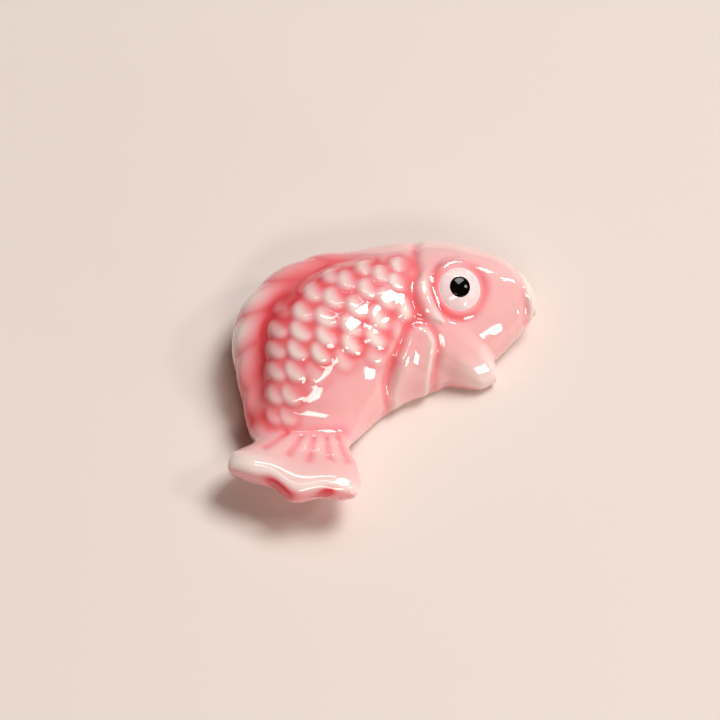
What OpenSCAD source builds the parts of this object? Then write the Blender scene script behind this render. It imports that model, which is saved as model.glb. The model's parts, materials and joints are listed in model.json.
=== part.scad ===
// Chopstick rest: a koi lying on its side, pressed in porcelain, glazed and fired.
// The sticks lie in the saddle between the body and the lifted tail.
// X runs from the back to the snout, Y from the tail to the top of the head, Z up from the table.
// The fish is drawn over a run of stations, numbered from the tail's edge (0) to the snout (21).
// Each station is a line from the belly's edge to the back's edge, with an arched section over it.

/* [Fish] */
// Length of the fish from its back to its snout
fish_l = 57; // [52:0.5:62]
// Spread from the top of the head to the edge of the tail
fish_w = 53; // [49:0.5:58]
// Height of the body's dome above the table
body_h = 18.2; // [16.5:0.1:20.5]
// Height of the saddle that the chopsticks lie in
saddle_h = 9; // [8:0.1:10]
// Clear height under the chin at the snout
chin_lift = 5.4; // [4:0.1:6.5]
// How far the blunt snout stands out
snout_round = 0.6; // [0.4:0.1:1]

/* [Tail] */
// Clear height under the tail's edge
tail_lift = 6.8; // [5:0.1:8]
// Thickness of the tail's edge
tail_t = 5.2; // [4:0.1:6.4]
// How far the tail's rounded edge stands out
tail_round = 2.3; // [1.6:0.1:3]
// How far the tail's corners are rounded off
tail_corner = 2.6; // [1.8:0.1:3.2]
// How far the tail's sides are drawn in underneath
tail_undercut = 1.1; // [0.6:0.1:1.6]
// How far the middle lobe of the tail stands out
tail_bulge = 2.5; // [1.6:0.1:3.2]
// Depth of the waves along the tail's edge
tail_wave = 0.35; // [0.1:0.05:0.6]
// Depth of the five grooves along the tail
ray_d = 0.3; // [0.15:0.05:0.45]
// Half width of a groove along the tail
ray_w = 0.7; // [0.5:0.05:0.9]
// Depth of the fold where the tail leaves the body
root_d = 0.35; // [0.2:0.05:0.5]
// Half width of that fold
root_w = 0.95; // [0.7:0.05:1.2]

/* [Scales] */
// Height of a scale's free edge
scale_rise = 0.5; // [0.3:0.05:0.7]

/* [Fins] */
// Depth of the valley beside the dorsal fin
valley_d = 0.95; // [0.6:0.05:1.3]
// Height of the dorsal fin's lobes
dorsal_rise = 0.8; // [0.4:0.05:1.2]
// Depth of the notches between those lobes
dorsal_notch = 0.35; // [0.1:0.05:0.6]
// Height of the pectoral fin
pectoral_rise = 0.6; // [0.4:0.05:0.8]
// Depth of the dish along the pectoral fin
pectoral_dish = 0.35; // [0.1:0.05:0.6]
// Half width of the pectoral fin where it leaves the gill
pectoral_top_r = 2.7; // [2:0.1:3.2]
// Half width of the pectoral fin at the belly
pectoral_end_r = 3.5; // [2.8:0.1:4.2]
// How far the pelvic fin stands out from the belly
pelvic_out = 3.5; // [2.6:0.1:4.5]
// Drop of the pelvic fin's edge
pelvic_drop = 0.8; // [0.3:0.1:1.2]
// Depth of the hollow between the pelvic fin and the belly
pelvic_d = 0.5; // [0.3:0.05:0.7]
// Half width of that hollow
pelvic_w = 1.1; // [0.8:0.05:1.4]

/* [Head] */
// Depth of the groove behind the gill
gill_d = 0.5; // [0.3:0.05:0.7]
// Half width of that groove
gill_w = 1.05; // [0.8:0.05:1.3]
// Height of the gill plate
gill_plate_rise = 0.5; // [0.3:0.05:0.7]
// Half width of the gill plate
gill_plate_w = 1.7; // [1.2:0.05:2.1]
// Depth of the groove behind the lips
lip_d = 0.25; // [0.15:0.05:0.4]
// Half width of that groove
lip_w = 0.7; // [0.5:0.05:0.9]

/* [Eye] */
// Diameter of the eye
eye_d = 8; // [6.6:0.1:8.8]
// Height of the eye's dome over its seat
eye_rise = 1.3; // [0.9:0.05:1.7]
// Depth of the flat seat under the eye, below the head
eye_seat_d = 0.5; // [0.3:0.05:0.7]
// Depth of the socket around the eye
socket_d = 0.5; // [0.3:0.05:0.7]
// Half width of that socket
socket_w = 0.95; // [0.7:0.05:1.2]
// Diameter of the pupil
pupil_d = 3.9; // [3:0.1:4.6]
// Thickness of the pupil's enamel
pupil_t = 0.2; // [0.12:0.02:0.3]
// How far the pupil sits from the middle of the eye, towards the gill and towards the back
pupil_shift = 0.45; // [0:0.05:0.7]

/* [Glaze and foot] */
// Least thickness of the glaze
glaze_t = 0.4; // [0.3:0.05:0.5]
// Height of the glaze's lower edge above the table
glaze_line = 0.9; // [0.7:0.05:1.3]
// How far the foot is drawn in under the back
back_undercut = 4.8; // [3.6:0.1:5.6]
// How far the foot is drawn in under the belly
belly_undercut = 2.2; // [1.6:0.1:3]
// Width of the unglazed ring that the foot stands on
foot_ring_w = 3; // [2.4:0.1:3.8]
// Depth of the recess inside that ring
recess_d = 0.8; // [0.4:0.1:1.2]

/* [Hidden] */
overrun = 0.1;
round_fn = 64;

// Stations, counted from the tail's edge.
last_station = 21;
root_station = 4;
gill_station = 13;
foot_stations = [4, 17];

// Places of the belly's edge and the back's edge, as shares of fish_l and fish_w.
belly_edge_shares = [
    [-0.081, -0.555], [-0.074, -0.525], [-0.088, -0.453], [-0.112, -0.366], [-0.074, -0.294],
    [-0.026, -0.230], [0.038, -0.171], [0.094, -0.138], [0.147, -0.114], [0.196, -0.091],
    [0.256, -0.060], [0.316, -0.026], [0.361, 0.008], [0.393, 0.038], [0.416, 0.062],
    [0.435, 0.085], [0.451, 0.102], [0.463, 0.115], [0.474, 0.128], [0.481, 0.136],
    [0.486, 0.143], [0.490, 0.148]
];
back_edge_shares = [
    [-0.500, -0.459], [-0.493, -0.428], [-0.470, -0.400], [-0.421, -0.351], [-0.439, -0.294],
    [-0.451, -0.238], [-0.463, -0.162], [-0.481, -0.079], [-0.495, 0.004], [-0.488, 0.094],
    [-0.445, 0.187], [-0.371, 0.268], [-0.272, 0.326], [-0.160, 0.357], [-0.053, 0.389],
    [0.053, 0.414], [0.154, 0.419], [0.253, 0.404], [0.348, 0.373], [0.430, 0.322],
    [0.480, 0.258], [0.490, 0.222]
];
// Height of the crown at each station, as a share of the way from the saddle to the dome.
crown_shares = [
    0, 0, 0, 0, 0.065, 0.33, 0.59, 0.78, 0.91, 0.98, 1,
    1, 0.97, 0.91, 0.85, 0.78, 0.70, 0.59, 0.46, 0.30, 0.15, 0.02
];
// The same for the tail, as a share of the way from the saddle to the tail's edge.
tail_crown_shares = [1, 0.93, 0.53, 0.04, 0];

// How round the ridge over the belly's side is, and how much of that side is dome, not slope.
ridge_share = 0.35;
flank_share = 0.3;

// Rows of scales: where each chain of them lies across the body, how far it drifts
// at each row towards the head, and its first and last row.
chain_shares = [0.69, 0.605, 0.52, 0.436, 0.347, 0.259];
chain_drift_shares = [0.012, 0.019, 0.027, 0.031, 0.039, 0.045];
chain_rows = [[2, 7], [0, 7], [-1, 5], [-2, 4], [-1, 3], [0, 2]];
first_row_station = 11.29;
row_step = -1.014;
chain_step = -0.108;
straight_row = 3;
faint_scales = [[2, 5], [3, 4], [4, 3], [5, 1], [5, 2]];
faint_share = 0.45;

// Courses of the grooves and ridges seen from above, as shares of fish_l and fish_w.
gill_shares = [
    [0.107, 0.388], [0.098, 0.292], [0.107, 0.218], [0.096, 0.157], [0.096, 0.103], [0.104, 0.066],
    [0.092, 0.028], [0.076, -0.006], [0.056, -0.050], [0.037, -0.093], [0.023, -0.134], [0.014, -0.176]
];
gill_plate_shares = [[0.128, 0.209], [0.124, 0.155], [0.134, 0.111], [0.154, 0.079], [0.186, 0.055]];
lip_shares = [[0.432, 0.304], [0.439, 0.272], [0.454, 0.218], [0.461, 0.173], [0.462, 0.114]];
pelvic_shares = [[0.192, -0.093], [0.227, -0.054], [0.260, -0.030], [0.311, 0.003]];
pectoral_shares = [[0.118, -0.023], [0.081, -0.155]];
root_shares = [[-0.377, -0.321], [-0.325, -0.326], [-0.272, -0.328], [-0.193, -0.328], [-0.128, -0.322]];
ray_shares = [
    [[-0.314, -0.340], [-0.398, -0.423]], [[-0.267, -0.355], [-0.316, -0.462]],
    [[-0.226, -0.357], [-0.244, -0.489]], [[-0.184, -0.355], [-0.172, -0.485]],
    [[-0.147, -0.349], [-0.111, -0.485]]
];
eye_station = 13.74;
eye_share = 0.389;

// Stations and columns of the surface. The glaze's outside takes them all, and the face
// between glaze and porcelain every second one.
station_list = concat(
    [for (share = [0.97, 0.8, 0.55, 0.28]) -share],
    [for (i = [0:17]) i * root_station / 18],
    [for (i = [0:41]) root_station + i * (gill_station - root_station) / 42],
    [for (i = [0:27]) gill_station + i * (last_station - gill_station) / 28],
    [last_station, last_station + 1 / 2, last_station + 0.95]
);
belly_share = 0.30;
back_share = 0.82;
column_shares = concat(
    [for (i = [0:7]) belly_share * i / 8],
    [for (i = [0:21]) belly_share + (back_share - belly_share) * i / 22],
    [for (i = [0:6]) back_share + (1 - back_share) * i / 6]
);
stations = len(station_list);
tops = len(column_shares);
around = tops + 15;
line_back = tops + 1;
line_belly = around - 2;
coarse = 2;
foot_dip = glaze_t + overrun;

// Small functions on numbers.
function clamp(x, low, high) = max(low, min(high, x));
function ease(a, b, x) = let (f = clamp((x - a) / (b - a), 0, 1)) f * f * (3 - 2 * f);
function bell(x, w) = exp(-(x / w) * (x / w));
function mix(a, b, f) = a + (b - a) * f;
function unit(v) = v / max(norm(v), 0.000001);
function hermite(a, b, c, d, f) =
    let (g = f * f, h = g * f)
    (2 * h - 3 * g + 1) * b + (h - 2 * g + f) * (c - a) / 2
    + (3 * g - 2 * h) * c + (h - g) * (d - b) / 2;
function along(table, u) =
    let (n = len(table) - 1, v = clamp(u, 0, n), i = min(floor(v), n - 1))
    hermite(table[max(i - 1, 0)], table[i], table[i + 1], table[min(i + 2, n)], v - i);
function in_plan(share) = [share.x * fish_l, share.y * fish_w];

// How far a point lies from a straight piece, and its share of the way along it.
function from_piece(p, a, b) =
    let (d = b - a, f = clamp((p - a) * d / (d * d), 0, 1))
    [norm(p - a - d * f), f];
// The same for a course of straight pieces.
function from_course(p, shares) =
    let (
        n = len(shares) - 1,
        hits = [for (i = [0:n - 1]) from_piece(p, in_plan(shares[i]), in_plan(shares[i + 1]))],
        near = min([for (h = hits) h[0]]),
        i = [for (k = [0:n - 1]) if (hits[k][0] == near) k][0]
    )
    [near, (i + hits[i][1]) / n];

// Sizes of one station: the two edges in plan, their heights, crown, underside, squareness,
// the two undercuts, how far the ends have closed, how far they stand out, the pelvic fin, and
// how far the belly's side slopes like a flank.
function pelvic(u) = ease(9.2, 10.6, u) * (1 - ease(11.2, 12.1, u));
function station(u) =
    let (
        k = clamp(u, 0, last_station),
        tail = 90 * clamp(-u, 0, 1),
        snout = 90 * clamp(u - last_station, 0, 1),
        standing = ease(foot_stations[0], foot_stations[0] + 0.8, k)
            * (1 - ease(foot_stations[1] - 0.8, foot_stations[1], k)),
        under = tail_lift * (1 - ease(1.2, 4.8, k)) + chin_lift * ease(15.5, 22, k)
            - foot_dip * standing,
        crown = saddle_h + (body_h - saddle_h) * along(crown_shares, k)
            + (tail_lift + tail_t - saddle_h) * along(tail_crown_shares, k),
        belly_mid = 0.5 - 0.3 * ease(1.5, 7, k) + 0.2 * ease(11, 16.5, k),
        back_mid = 0.5 - 0.09 * ease(4, 6.5, k) + 0.05 * ease(8, 12, k)
    )
    [
        in_plan(along(belly_edge_shares, k)),
        in_plan(along(back_edge_shares, k)),
        mix(under, crown, belly_mid),
        mix(under, crown, back_mid),
        crown,
        under,
        2.2 + 1.6 * (1 - ease(0.5, 4.5, k)),
        mix(tail_undercut, belly_undercut, ease(1, 4, k)) * (1 - 0.6 * ease(17, last_station, k)),
        mix(tail_undercut, back_undercut, ease(4, 8, k) * (1 - 0.5 * ease(11, 14, k)))
            * (1 - 0.6 * ease(17, last_station, k)),
        cos(tail) * cos(snout),
        [sin(tail), 1 - ease(0, 2, k), sin(snout)],
        pelvic(k),
        ease(3.6, 7, k) * (1 - ease(18, last_station, k))
    ];

// Height of the belly's side, a share of the way from the crown to the edge.
function flank(off) =
    let (fall = (norm([off, ridge_share]) - ridge_share) / (norm([1, ridge_share]) - ridge_share))
    mix(1 - fall, sqrt(max(0, 1 - pow(off, 4))), flank_share);

// A point of the upper surface of a station, a share of the way from belly to back.
function end_wave(w) =
    tail_bulge * bell(w - 0.44, 0.26)
    + tail_wave * cos(360 * 2.6 * (w - 0.07)) * bell((w - 0.45) * (w - 0.45), 0.25);
function upper(s, share) =
    let (
        w = (1 - cos(180 * share)) / 2,
        off = abs(2 * w - 1),
        dome = sqrt(max(0, 1 - pow(off, s[6]))),
        arch = w < 1 / 2 ? mix(dome, flank(off), s[12]) : dome,
        edge_z = mix(s[2], s[3], w) - pelvic_drop * s[11] * (1 - ease(0, 0.2, share)),
        tail_way = unit([-0.21, -0.98]),
        fin_way = unit([0.64, -0.77]),
        across = norm(s[1] - s[0]),
        drawn_in = 1 - (1 - s[9]) * (2 * tail_corner / across * s[10][0] + 0.6 * s[10][2]),
        plan = mix(s[0], s[1], 0.5 + (w - 0.5) * drawn_in)
            + fin_way * pelvic_out * s[11] * (1 - ease(0, 0.3, share))
            + tail_way * (tail_round * s[10][0] + end_wave(w) * s[10][1])
            + [snout_round * s[10][2], 0]
    )
    [plan.x, plan.y, edge_z + (s[4] - edge_z) * arch * s[9]];
// A point of the wall below an edge, a share of the way down, on the back (1) or the belly (0).
function wall(s, side, down) =
    let (
        edge = upper(s, side),
        across = upper(s, 1 - side) - edge,
        inward = [across.x, across.y],
        undercut = min(s[7 + side], 0.42 * norm(inward)),
        plan = [edge.x, edge.y] + unit(inward) * undercut * (1 - sqrt(max(0, 1 - down * down)))
    )
    [plan.x, plan.y, edge.z - (edge.z - s[5]) * down * s[9]];
// The share of the way down a wall at which the glaze's lower edge runs.
function line_share(s, side) =
    let (z = upper(s, side).z) min(0.93, (z - glaze_line) / (z - s[5]));
// All points around one station.
function ring(s) =
    let (
        back = line_share(s, 1),
        belly = line_share(s, 0),
        back_foot = wall(s, 1, 1),
        belly_foot = wall(s, 0, 1),
        across = norm(s[1] - s[0]),
        from_w = min(0.42, s[7] / across),
        to_w = 1 - min(0.42, s[8] / across),
        under_shares = [for (i = [7:-1:1]) acos(1 - 2 * mix(from_w, to_w, i / 8)) / 180]
    )
    concat(
        [for (share = column_shares) upper(s, share)],
        [wall(s, 1, back / 2), wall(s, 1, back), wall(s, 1, mix(back, 1, 1 / 2)), back_foot],
        [for (share = under_shares)
            let (p = upper(s, share))
            [p.x, p.y, mix(belly_foot.z, back_foot.z, share)]],
        [belly_foot, wall(s, 0, mix(belly, 1, 1 / 2)), wall(s, 0, belly), wall(s, 0, belly / 2)]
    );

smooth = [for (u = station_list) ring(station(u))];
function smooth_at(i, j) = smooth[clamp(i, 0, stations - 1)][(j + around) % around];
normals = [
    for (i = [0:stations - 1])
        [for (j = [0:around - 1])
            unit(cross(smooth_at(i + 1, j) - smooth_at(i - 1, j), smooth_at(i, j + 1) - smooth_at(i, j - 1)))]
];

// Which way round the sections run: 1 if their normals point outwards.
turn = sign(normals[floor(stations / 2)][floor(tops / 2)].z);
function outward(i, j) = normals[i][j] * turn;

// Each scale: its middle, the way it points, the way across it, its radius, its strength,
// and its station and share across the body.
function scale_place(chain, row) =
    let (
        i = clamp(floor(chain), 0, len(chain_shares) - 2),
        f = chain - i,
        drift = mix(chain_drift_shares[i], chain_drift_shares[i + 1], f),
        share = mix(chain_shares[i], chain_shares[i + 1], f) + max(0, straight_row - row) * drift
    )
    [first_row_station + row_step * row + chain_step * chain, share];
function on_fish(place) = upper(station(place[0]), place[1]);
scale_list = [
    for (chain = [0:len(chain_rows) - 1])
        for (row = [chain_rows[chain][0]:chain_rows[chain][1]])
            let (
                place = scale_place(chain, row),
                to_back = on_fish(scale_place(chain - 0.5, row)) - on_fish(scale_place(chain + 0.5, row)),
                to_tail = on_fish(scale_place(chain, row + 0.5)) - on_fish(scale_place(chain, row - 0.5)),
                points = unit(unit(to_back) * 0.62 + unit(to_tail) * 0.78),
                r = 0.64 * sqrt(norm(to_back) * norm(to_tail)),
                faint = len([for (f = faint_scales) if (f == [chain, row]) 1]) > 0
            )
            [
                on_fish(place) - points * r * 0.33, points,
                unit(cross(cross(to_back, to_tail), points)), r, faint ? faint_share : 1, place
            ]
];
// Height of the scales at a point: each rises to its free edge and drops, and the highest shows.
function scale_height(p, u, share) =
    scale_rise * max(concat([0], [
        for (s = scale_list)
            if (abs(u - s[5][0]) < 1.6 && abs(share - s[5][1]) < 0.16)
                let (
                    q = p - s[0],
                    a = q * s[1] / s[3],
                    rho = norm([a, q * s[2] / s[3]])
                )
                ease(-0.8, 0.8, a) * (1 - ease(0.76, 1.18, rho)) * s[4]
    ]));

// The dorsal fin: a valley along the back with a ridge of lobes outside it.
function dorsal(u, share) =
    let (
        on = ease(4, 6.5, u) * (1 - ease(12.2, 13.6, u)),
        middle = 0.74 + 0.05 * (1 - ease(5.5, 9, u)),
        lobe = abs(cos(180 * (u + 4 * (share - 0.87) - 8.16) / 1.48))
    )
    on * (
        dorsal_rise * bell(share - middle - 0.125, 0.065) * (0.4 + 0.6 * lobe)
        - valley_d * bell(share - middle, 0.065)
        - dorsal_notch * (1 - lobe) * (1 - lobe) * ease(0.86, 0.95, share)
    );

// The eye's seat.
eye_middle = on_fish([eye_station, eye_share]);
eye_axis = unit(cross(
    on_fish([eye_station + 0.1, eye_share]) - on_fish([eye_station - 0.1, eye_share]),
    on_fish([eye_station, eye_share + 0.01]) - on_fish([eye_station, eye_share - 0.01])
));
eye_up = eye_axis * sign(eye_axis.z);
eye_seat = eye_middle - eye_up * eye_seat_d;
seat_r = eye_d / 2 + 2.2 * glaze_t;
function from_eye(p) = let (q = p - eye_seat) norm(q - eye_up * (q * eye_up));

// The grooves and ridges of the head and the fins, at a point seen from above.
function gill_height(q) =
    let (groove = from_course(q, gill_shares), plate = from_course(q, gill_plate_shares))
    gill_plate_rise * (1 - ease(0.3, 1, plate[0] / gill_plate_w
        / sqrt(clamp(4 * plate[1] * (1 - plate[1]), 0.12, 1))))
    - gill_d * bell(groove[0], gill_w) * (1 - ease(0.93, 1, groove[1]));
function pectoral_height(q) =
    let (
        hit = from_piece(q, in_plan(pectoral_shares[0]), in_plan(pectoral_shares[1])),
        rim = mix(pectoral_top_r, pectoral_end_r, hit[1]),
        out = (hit[0] - rim) / rim
    )
    pectoral_rise * (1 - ease(-0.32, 0.14, out))
    - pectoral_dish * (1 - ease(-0.8, -0.27, out))
    - pectoral_dish * bell(out - 0.3, 0.26);
function pelvic_height(q) =
    let (hit = from_course(q, pelvic_shares))
    -pelvic_d * bell(hit[0], pelvic_w) * ease(0, 0.2, 1 - hit[1]);
function tail_height(q) =
    -root_d * bell(from_course(q, root_shares)[0], root_w)
    - ray_d * max([
        for (ray = ray_shares)
            let (hit = from_piece(q, in_plan(ray[0]), in_plan(ray[1])))
            bell(hit[0], ray_w * (0.75 + 0.5 * hit[1])) * ease(0, 0.2, 1 - hit[1])
    ]);
function lip_height(q) = -lip_d * bell(from_course(q, lip_shares)[0], lip_w);
function socket_height(p) =
    let (q = p - eye_middle, a = atan2(q.y, q.x))
    -socket_d * bell(from_eye(p) - seat_r - socket_w / 2, socket_w)
    * (0.35 + 0.65 * ease(-0.6, 0.7, cos(a - 215)));

// Relief of the upper surface at one of its points.
function relief(p, n, u, share) =
    let (q = [p.x, p.y])
    from_eye(p) < seat_r
        ? (eye_seat - p) * eye_up / (n * eye_up)
        : (u > 3 && u < 15 ? scale_height(p, u, share) + dorsal(u, share) : 0)
        + (u > 5 && u < 17 ? gill_height(q) + pectoral_height(q) : 0)
        + (u > 8 && u < 13 && share < 0.3 ? pelvic_height(q) : 0)
        + (u < 5 ? tail_height(q) : 0)
        + (u > 15 ? lip_height(q) : 0)
        + (u > 9 && u < 19 ? socket_height(p) : 0);
reliefs = [
    for (i = [0:stations - 1])
        [for (j = [0:around - 1])
            j < tops ? relief(smooth[i][j], outward(i, j), station_list[i], column_shares[j]) : 0]
];

// The porcelain follows the lowest relief near each of its points, one glaze thickness down.
function lowest(i, j) =
    min([for (di = [-coarse:coarse]) for (dj = [-coarse:coarse])
        reliefs[clamp(i + di, 0, stations - 1)][(j + dj + around) % around]]);
outer_points = [
    for (i = [0:stations - 1]) for (j = [0:around - 1]) smooth[i][j] + outward(i, j) * reliefs[i][j]
];
// Under the blunt snout it draws back along the fish as well.
snout_back = station_list[stations - 10];
snout_core = [for (j = [1:around]) 1 / around] * ring(station(snout_back));
inner_points = [
    for (i = [0:coarse:stations - 1]) for (j = [0:coarse:around - 1])
        let (
            p = smooth[i][j],
            f = ease(snout_back, last_station, station_list[i]),
            way = unit(mix(outward(i, j), unit(p - snout_core), f))
        )
        p + way * (lowest(i, j) - glaze_t * (1 + f / 2))
];
middle = [
    for (k = [0, 1])
        let (values = [for (p = outer_points) p[k]]) (min(values) + max(values)) / 2
];

// Triangles of a skin of rings, of its two closed ends, and of the stitches along an open edge.
// first is the number of its first point and step is how many stations or columns a cell spans.
function cell(a, b, c, d) = [[a, b, c], [a, c, d]];
function skin(first, rows, columns, skip) = [
    for (i = [0:rows - 2]) for (j = [0:columns - 1])
        if (!(i >= skip[0] && i < skip[1] && j >= skip[2] && j < skip[3]))
            let (a = first + i * columns, n = (j + 1) % columns)
            each cell(a + j, a + n, a + columns + n, a + columns + j)
];
// A closed end: the segments of the top run are shared out over the points of the underside.
function end_cap(first, columns) =
    let (
        top = columns == around ? tops - 1 : (tops - 1) / coarse,
        low = columns - top,
        under = function(m) first + (columns - m) % columns
    )
    concat(
        [for (k = [1:top - 2])
            [under(floor((k + 1 / 2) * (low + 1) / top)), first + k, first + k + 1]],
        [for (m = [0:low - 1])
            [under(m), first + ceil((m + 1) * top / (low + 1) - 1 / 2), under(m + 1)]]
    );
function turned(faces) = [for (f = faces) [f[2], f[1], f[0]]];
function facing(faces, way) = way > 0 ? faces : turned(faces);
no_skip = [0, 0, 0, 0];

// Unglazed porcelain, cut flat at the table, with a shallow recess inside its foot ring.
body_rows = (stations - 1) / coarse + 1;
body_columns = around / coarse;
body_faces = concat(
    skin(0, body_rows, body_columns, no_skip),
    turned(end_cap(0, body_columns)),
    end_cap((body_rows - 1) * body_columns, body_columns)
);
recess_stations = [for (u = [foot_stations[0] + 1.5:0.75:foot_stations[1] - 3]) station(u)];
function recess_edge(s, side) =
    let (foot = wall(s, side, 1), other = wall(s, 1 - side, 1), way = unit(other - foot))
    [foot.x, foot.y] + [way.x, way.y] * foot_ring_w;
module porcelain_body() {
    color("white")
    translate([-middle.x, -middle.y, 0])
    difference() {
        polyhedron(points = inner_points, faces = facing(body_faces, turn));
        translate([-fish_l, -fish_w, -body_h])
            cube([2 * fish_l, 2 * fish_w, body_h]);
        translate([0, 0, -overrun])
            linear_extrude(height = recess_d + overrun)
                polygon(concat(
                    [for (s = recess_stations) recess_edge(s, 1)],
                    [for (i = [len(recess_stations) - 1:-1:0]) recess_edge(recess_stations[i], 0)]
                ));
    }
}

// Glaze over everything but the foot.
first_inner = stations * around;
foot_rows = [for (i = [0:stations - 1]) if (station_list[i] >= foot_stations[0]
    && station_list[i] <= foot_stations[1] + overrun) i];
foot_start = foot_rows[0];
foot_end = foot_rows[len(foot_rows) - 1];
window = [foot_start, foot_end, line_back, line_belly];
function outer_at(i, j) = i * around + j;
function inner_at(i, j) = first_inner + i / coarse * body_columns + j / coarse;
function stitch(a, b, c, d, e) = [[a, b, d], [b, e, d], [b, c, e]];
foot_edge = concat(
    [for (i = [foot_start:coarse:foot_end - coarse]) each turned(stitch(
        outer_at(i, line_back), outer_at(i + 1, line_back), outer_at(i + 2, line_back),
        inner_at(i, line_back), inner_at(i + 2, line_back)))],
    [for (i = [foot_start:coarse:foot_end - coarse]) each stitch(
        outer_at(i, line_belly), outer_at(i + 1, line_belly), outer_at(i + 2, line_belly),
        inner_at(i, line_belly), inner_at(i + 2, line_belly))],
    [for (j = [line_back:coarse:line_belly - coarse]) each stitch(
        outer_at(foot_start, j), outer_at(foot_start, j + 1), outer_at(foot_start, j + 2),
        inner_at(foot_start, j), inner_at(foot_start, j + 2))],
    [for (j = [line_back:coarse:line_belly - coarse]) each turned(stitch(
        outer_at(foot_end, j), outer_at(foot_end, j + 1), outer_at(foot_end, j + 2),
        inner_at(foot_end, j), inner_at(foot_end, j + 2)))]
);
glaze_faces = concat(
    skin(0, stations, around, window),
    turned(end_cap(0, around)),
    end_cap((stations - 1) * around, around),
    turned(skin(first_inner, body_rows, body_columns, window / coarse)),
    end_cap(first_inner, body_columns),
    turned(end_cap(first_inner + (body_rows - 1) * body_columns, body_columns)),
    foot_edge
);
module pink_glaze() {
    color("lightpink")
    translate([-middle.x, -middle.y, 0])
        polyhedron(points = concat(outer_points, inner_points), faces = facing(glaze_faces, turn));
}

// The eye: a white enamel dome on its flat seat, and the pupil on the dome.
ball_r = (eye_d * eye_d / 4 + eye_rise * eye_rise) / (2 * eye_rise);
module at_eye() {
    translate([eye_seat.x - middle.x, eye_seat.y - middle.y, eye_seat.z])
    rotate([0, acos(eye_up.z), atan2(eye_up.y, eye_up.x)])
        children();
}
module eye_ball(extra) {
    translate([0, 0, eye_rise - ball_r])
        sphere(r = ball_r + extra, $fn = round_fn);
}
module eye_white() {
    color("seashell")
    at_eye()
    intersection() {
        eye_ball(0);
        cylinder(d = eye_d + eye_rise, h = eye_rise + overrun, $fn = round_fn);
    }
}
module pupil() {
    color("black")
    at_eye()
    difference() {
        intersection() {
            eye_ball(pupil_t);
            rotate([0, 0, 135 - atan2(eye_up.y, eye_up.x)])
            translate([pupil_shift, 0, 0])
                cylinder(d = pupil_d, h = 2 * eye_rise, $fn = round_fn);
        }
        eye_ball(0);
    }
}

porcelain_body();
pink_glaze();
eye_white();
pupil();
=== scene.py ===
"""Looks of a porcelain chopstick rest: a koi lying on its side under a pooled pink glaze.

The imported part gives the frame. The glaze coat and the eye are built again here with finer
meshes, and the porcelain body, table, lights and camera are dressed around them.
"""
import json
import logging
import math
from dataclasses import dataclass, field
from enum import Enum

import bpy
import numpy as np
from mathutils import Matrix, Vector

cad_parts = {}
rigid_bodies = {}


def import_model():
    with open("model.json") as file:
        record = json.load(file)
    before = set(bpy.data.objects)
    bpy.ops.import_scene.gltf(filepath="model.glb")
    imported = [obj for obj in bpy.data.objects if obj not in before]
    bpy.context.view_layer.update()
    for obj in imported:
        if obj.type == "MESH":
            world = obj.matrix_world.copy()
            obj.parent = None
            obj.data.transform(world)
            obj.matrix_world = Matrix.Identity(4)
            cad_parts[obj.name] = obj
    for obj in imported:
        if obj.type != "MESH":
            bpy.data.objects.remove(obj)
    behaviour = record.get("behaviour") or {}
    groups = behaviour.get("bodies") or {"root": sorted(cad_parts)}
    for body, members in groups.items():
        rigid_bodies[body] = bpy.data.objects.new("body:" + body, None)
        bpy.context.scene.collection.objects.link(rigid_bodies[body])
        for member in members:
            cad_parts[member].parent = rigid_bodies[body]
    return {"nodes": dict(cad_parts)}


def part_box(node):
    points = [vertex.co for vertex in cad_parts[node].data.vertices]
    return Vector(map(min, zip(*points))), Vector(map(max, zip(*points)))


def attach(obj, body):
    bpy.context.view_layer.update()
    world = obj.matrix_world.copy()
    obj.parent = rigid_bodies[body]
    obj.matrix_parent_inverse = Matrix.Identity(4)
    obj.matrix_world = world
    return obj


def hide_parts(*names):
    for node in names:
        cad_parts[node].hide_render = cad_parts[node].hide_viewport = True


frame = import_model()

MM = 0.001
QUARTER_TURN = math.radians(90)
Array = np.ndarray
# A pair of sizes is where a smooth change starts and ends. One whose name ends in _at is a
# middle and a half width, and any other pair has a comment beside it.
Pair = tuple[float, float]
log = logging.getLogger("chopstick_rest")


class Slot(Enum):
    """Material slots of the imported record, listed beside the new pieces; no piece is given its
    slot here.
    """

    GLAZE = "pink_glaze"
    WHITE = "white_enamel"
    BLACK = "black_enamel"


def ease(low: float, high: float, x: Array | float) -> Array:
    """Smooth step.

    Args:
        low: where the step starts.
        high: where it ends.
        x: places.

    Returns:
        0 before low, 1 after high, and a smooth rise between them.
    """
    f = np.clip((x - low) / (high - low), 0.0, 1.0)
    return f * f * (3 - 2 * f)


def stepped(first: float, steps: tuple, x: Array) -> Array:
    """A value that changes in smooth steps.

    Args:
        first: its value before any step.
        steps: for each step, the change and the places where it starts and ends.
        x: places.

    Returns:
        The value at each place.
    """
    value = first
    for change, low, high in steps:
        value = value + change * ease(low, high, x)
    return value


def bell(x: Array, width: float | Array) -> Array:
    """Bell curve of height 1.

    Args:
        x: distance from its middle.
        width: half width at about a third of its height.

    Returns:
        Its height at x.
    """
    return np.exp(-((x / width) ** 2))


def mix(a: Array | float, b: Array | float, f: Array | float) -> Array | float:
    """Straight blend from a to b.

    Args:
        a: value at f = 0.
        b: value at f = 1.
        f: share of the way.

    Returns:
        The blend.
    """
    return a + (b - a) * f


def unit(v: Array) -> Array:
    """Vectors scaled to length 1.

    Args:
        v: array whose last axis holds the vectors.

    Returns:
        The scaled array.
    """
    return v / np.maximum(np.linalg.norm(v, axis=-1, keepdims=True), 1e-9)


def across_plan(share: Array) -> Array:
    """Share of the way across in plan, from the share of the way round the arched section."""
    return (1 - np.cos(np.pi * share)) / 2


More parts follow.
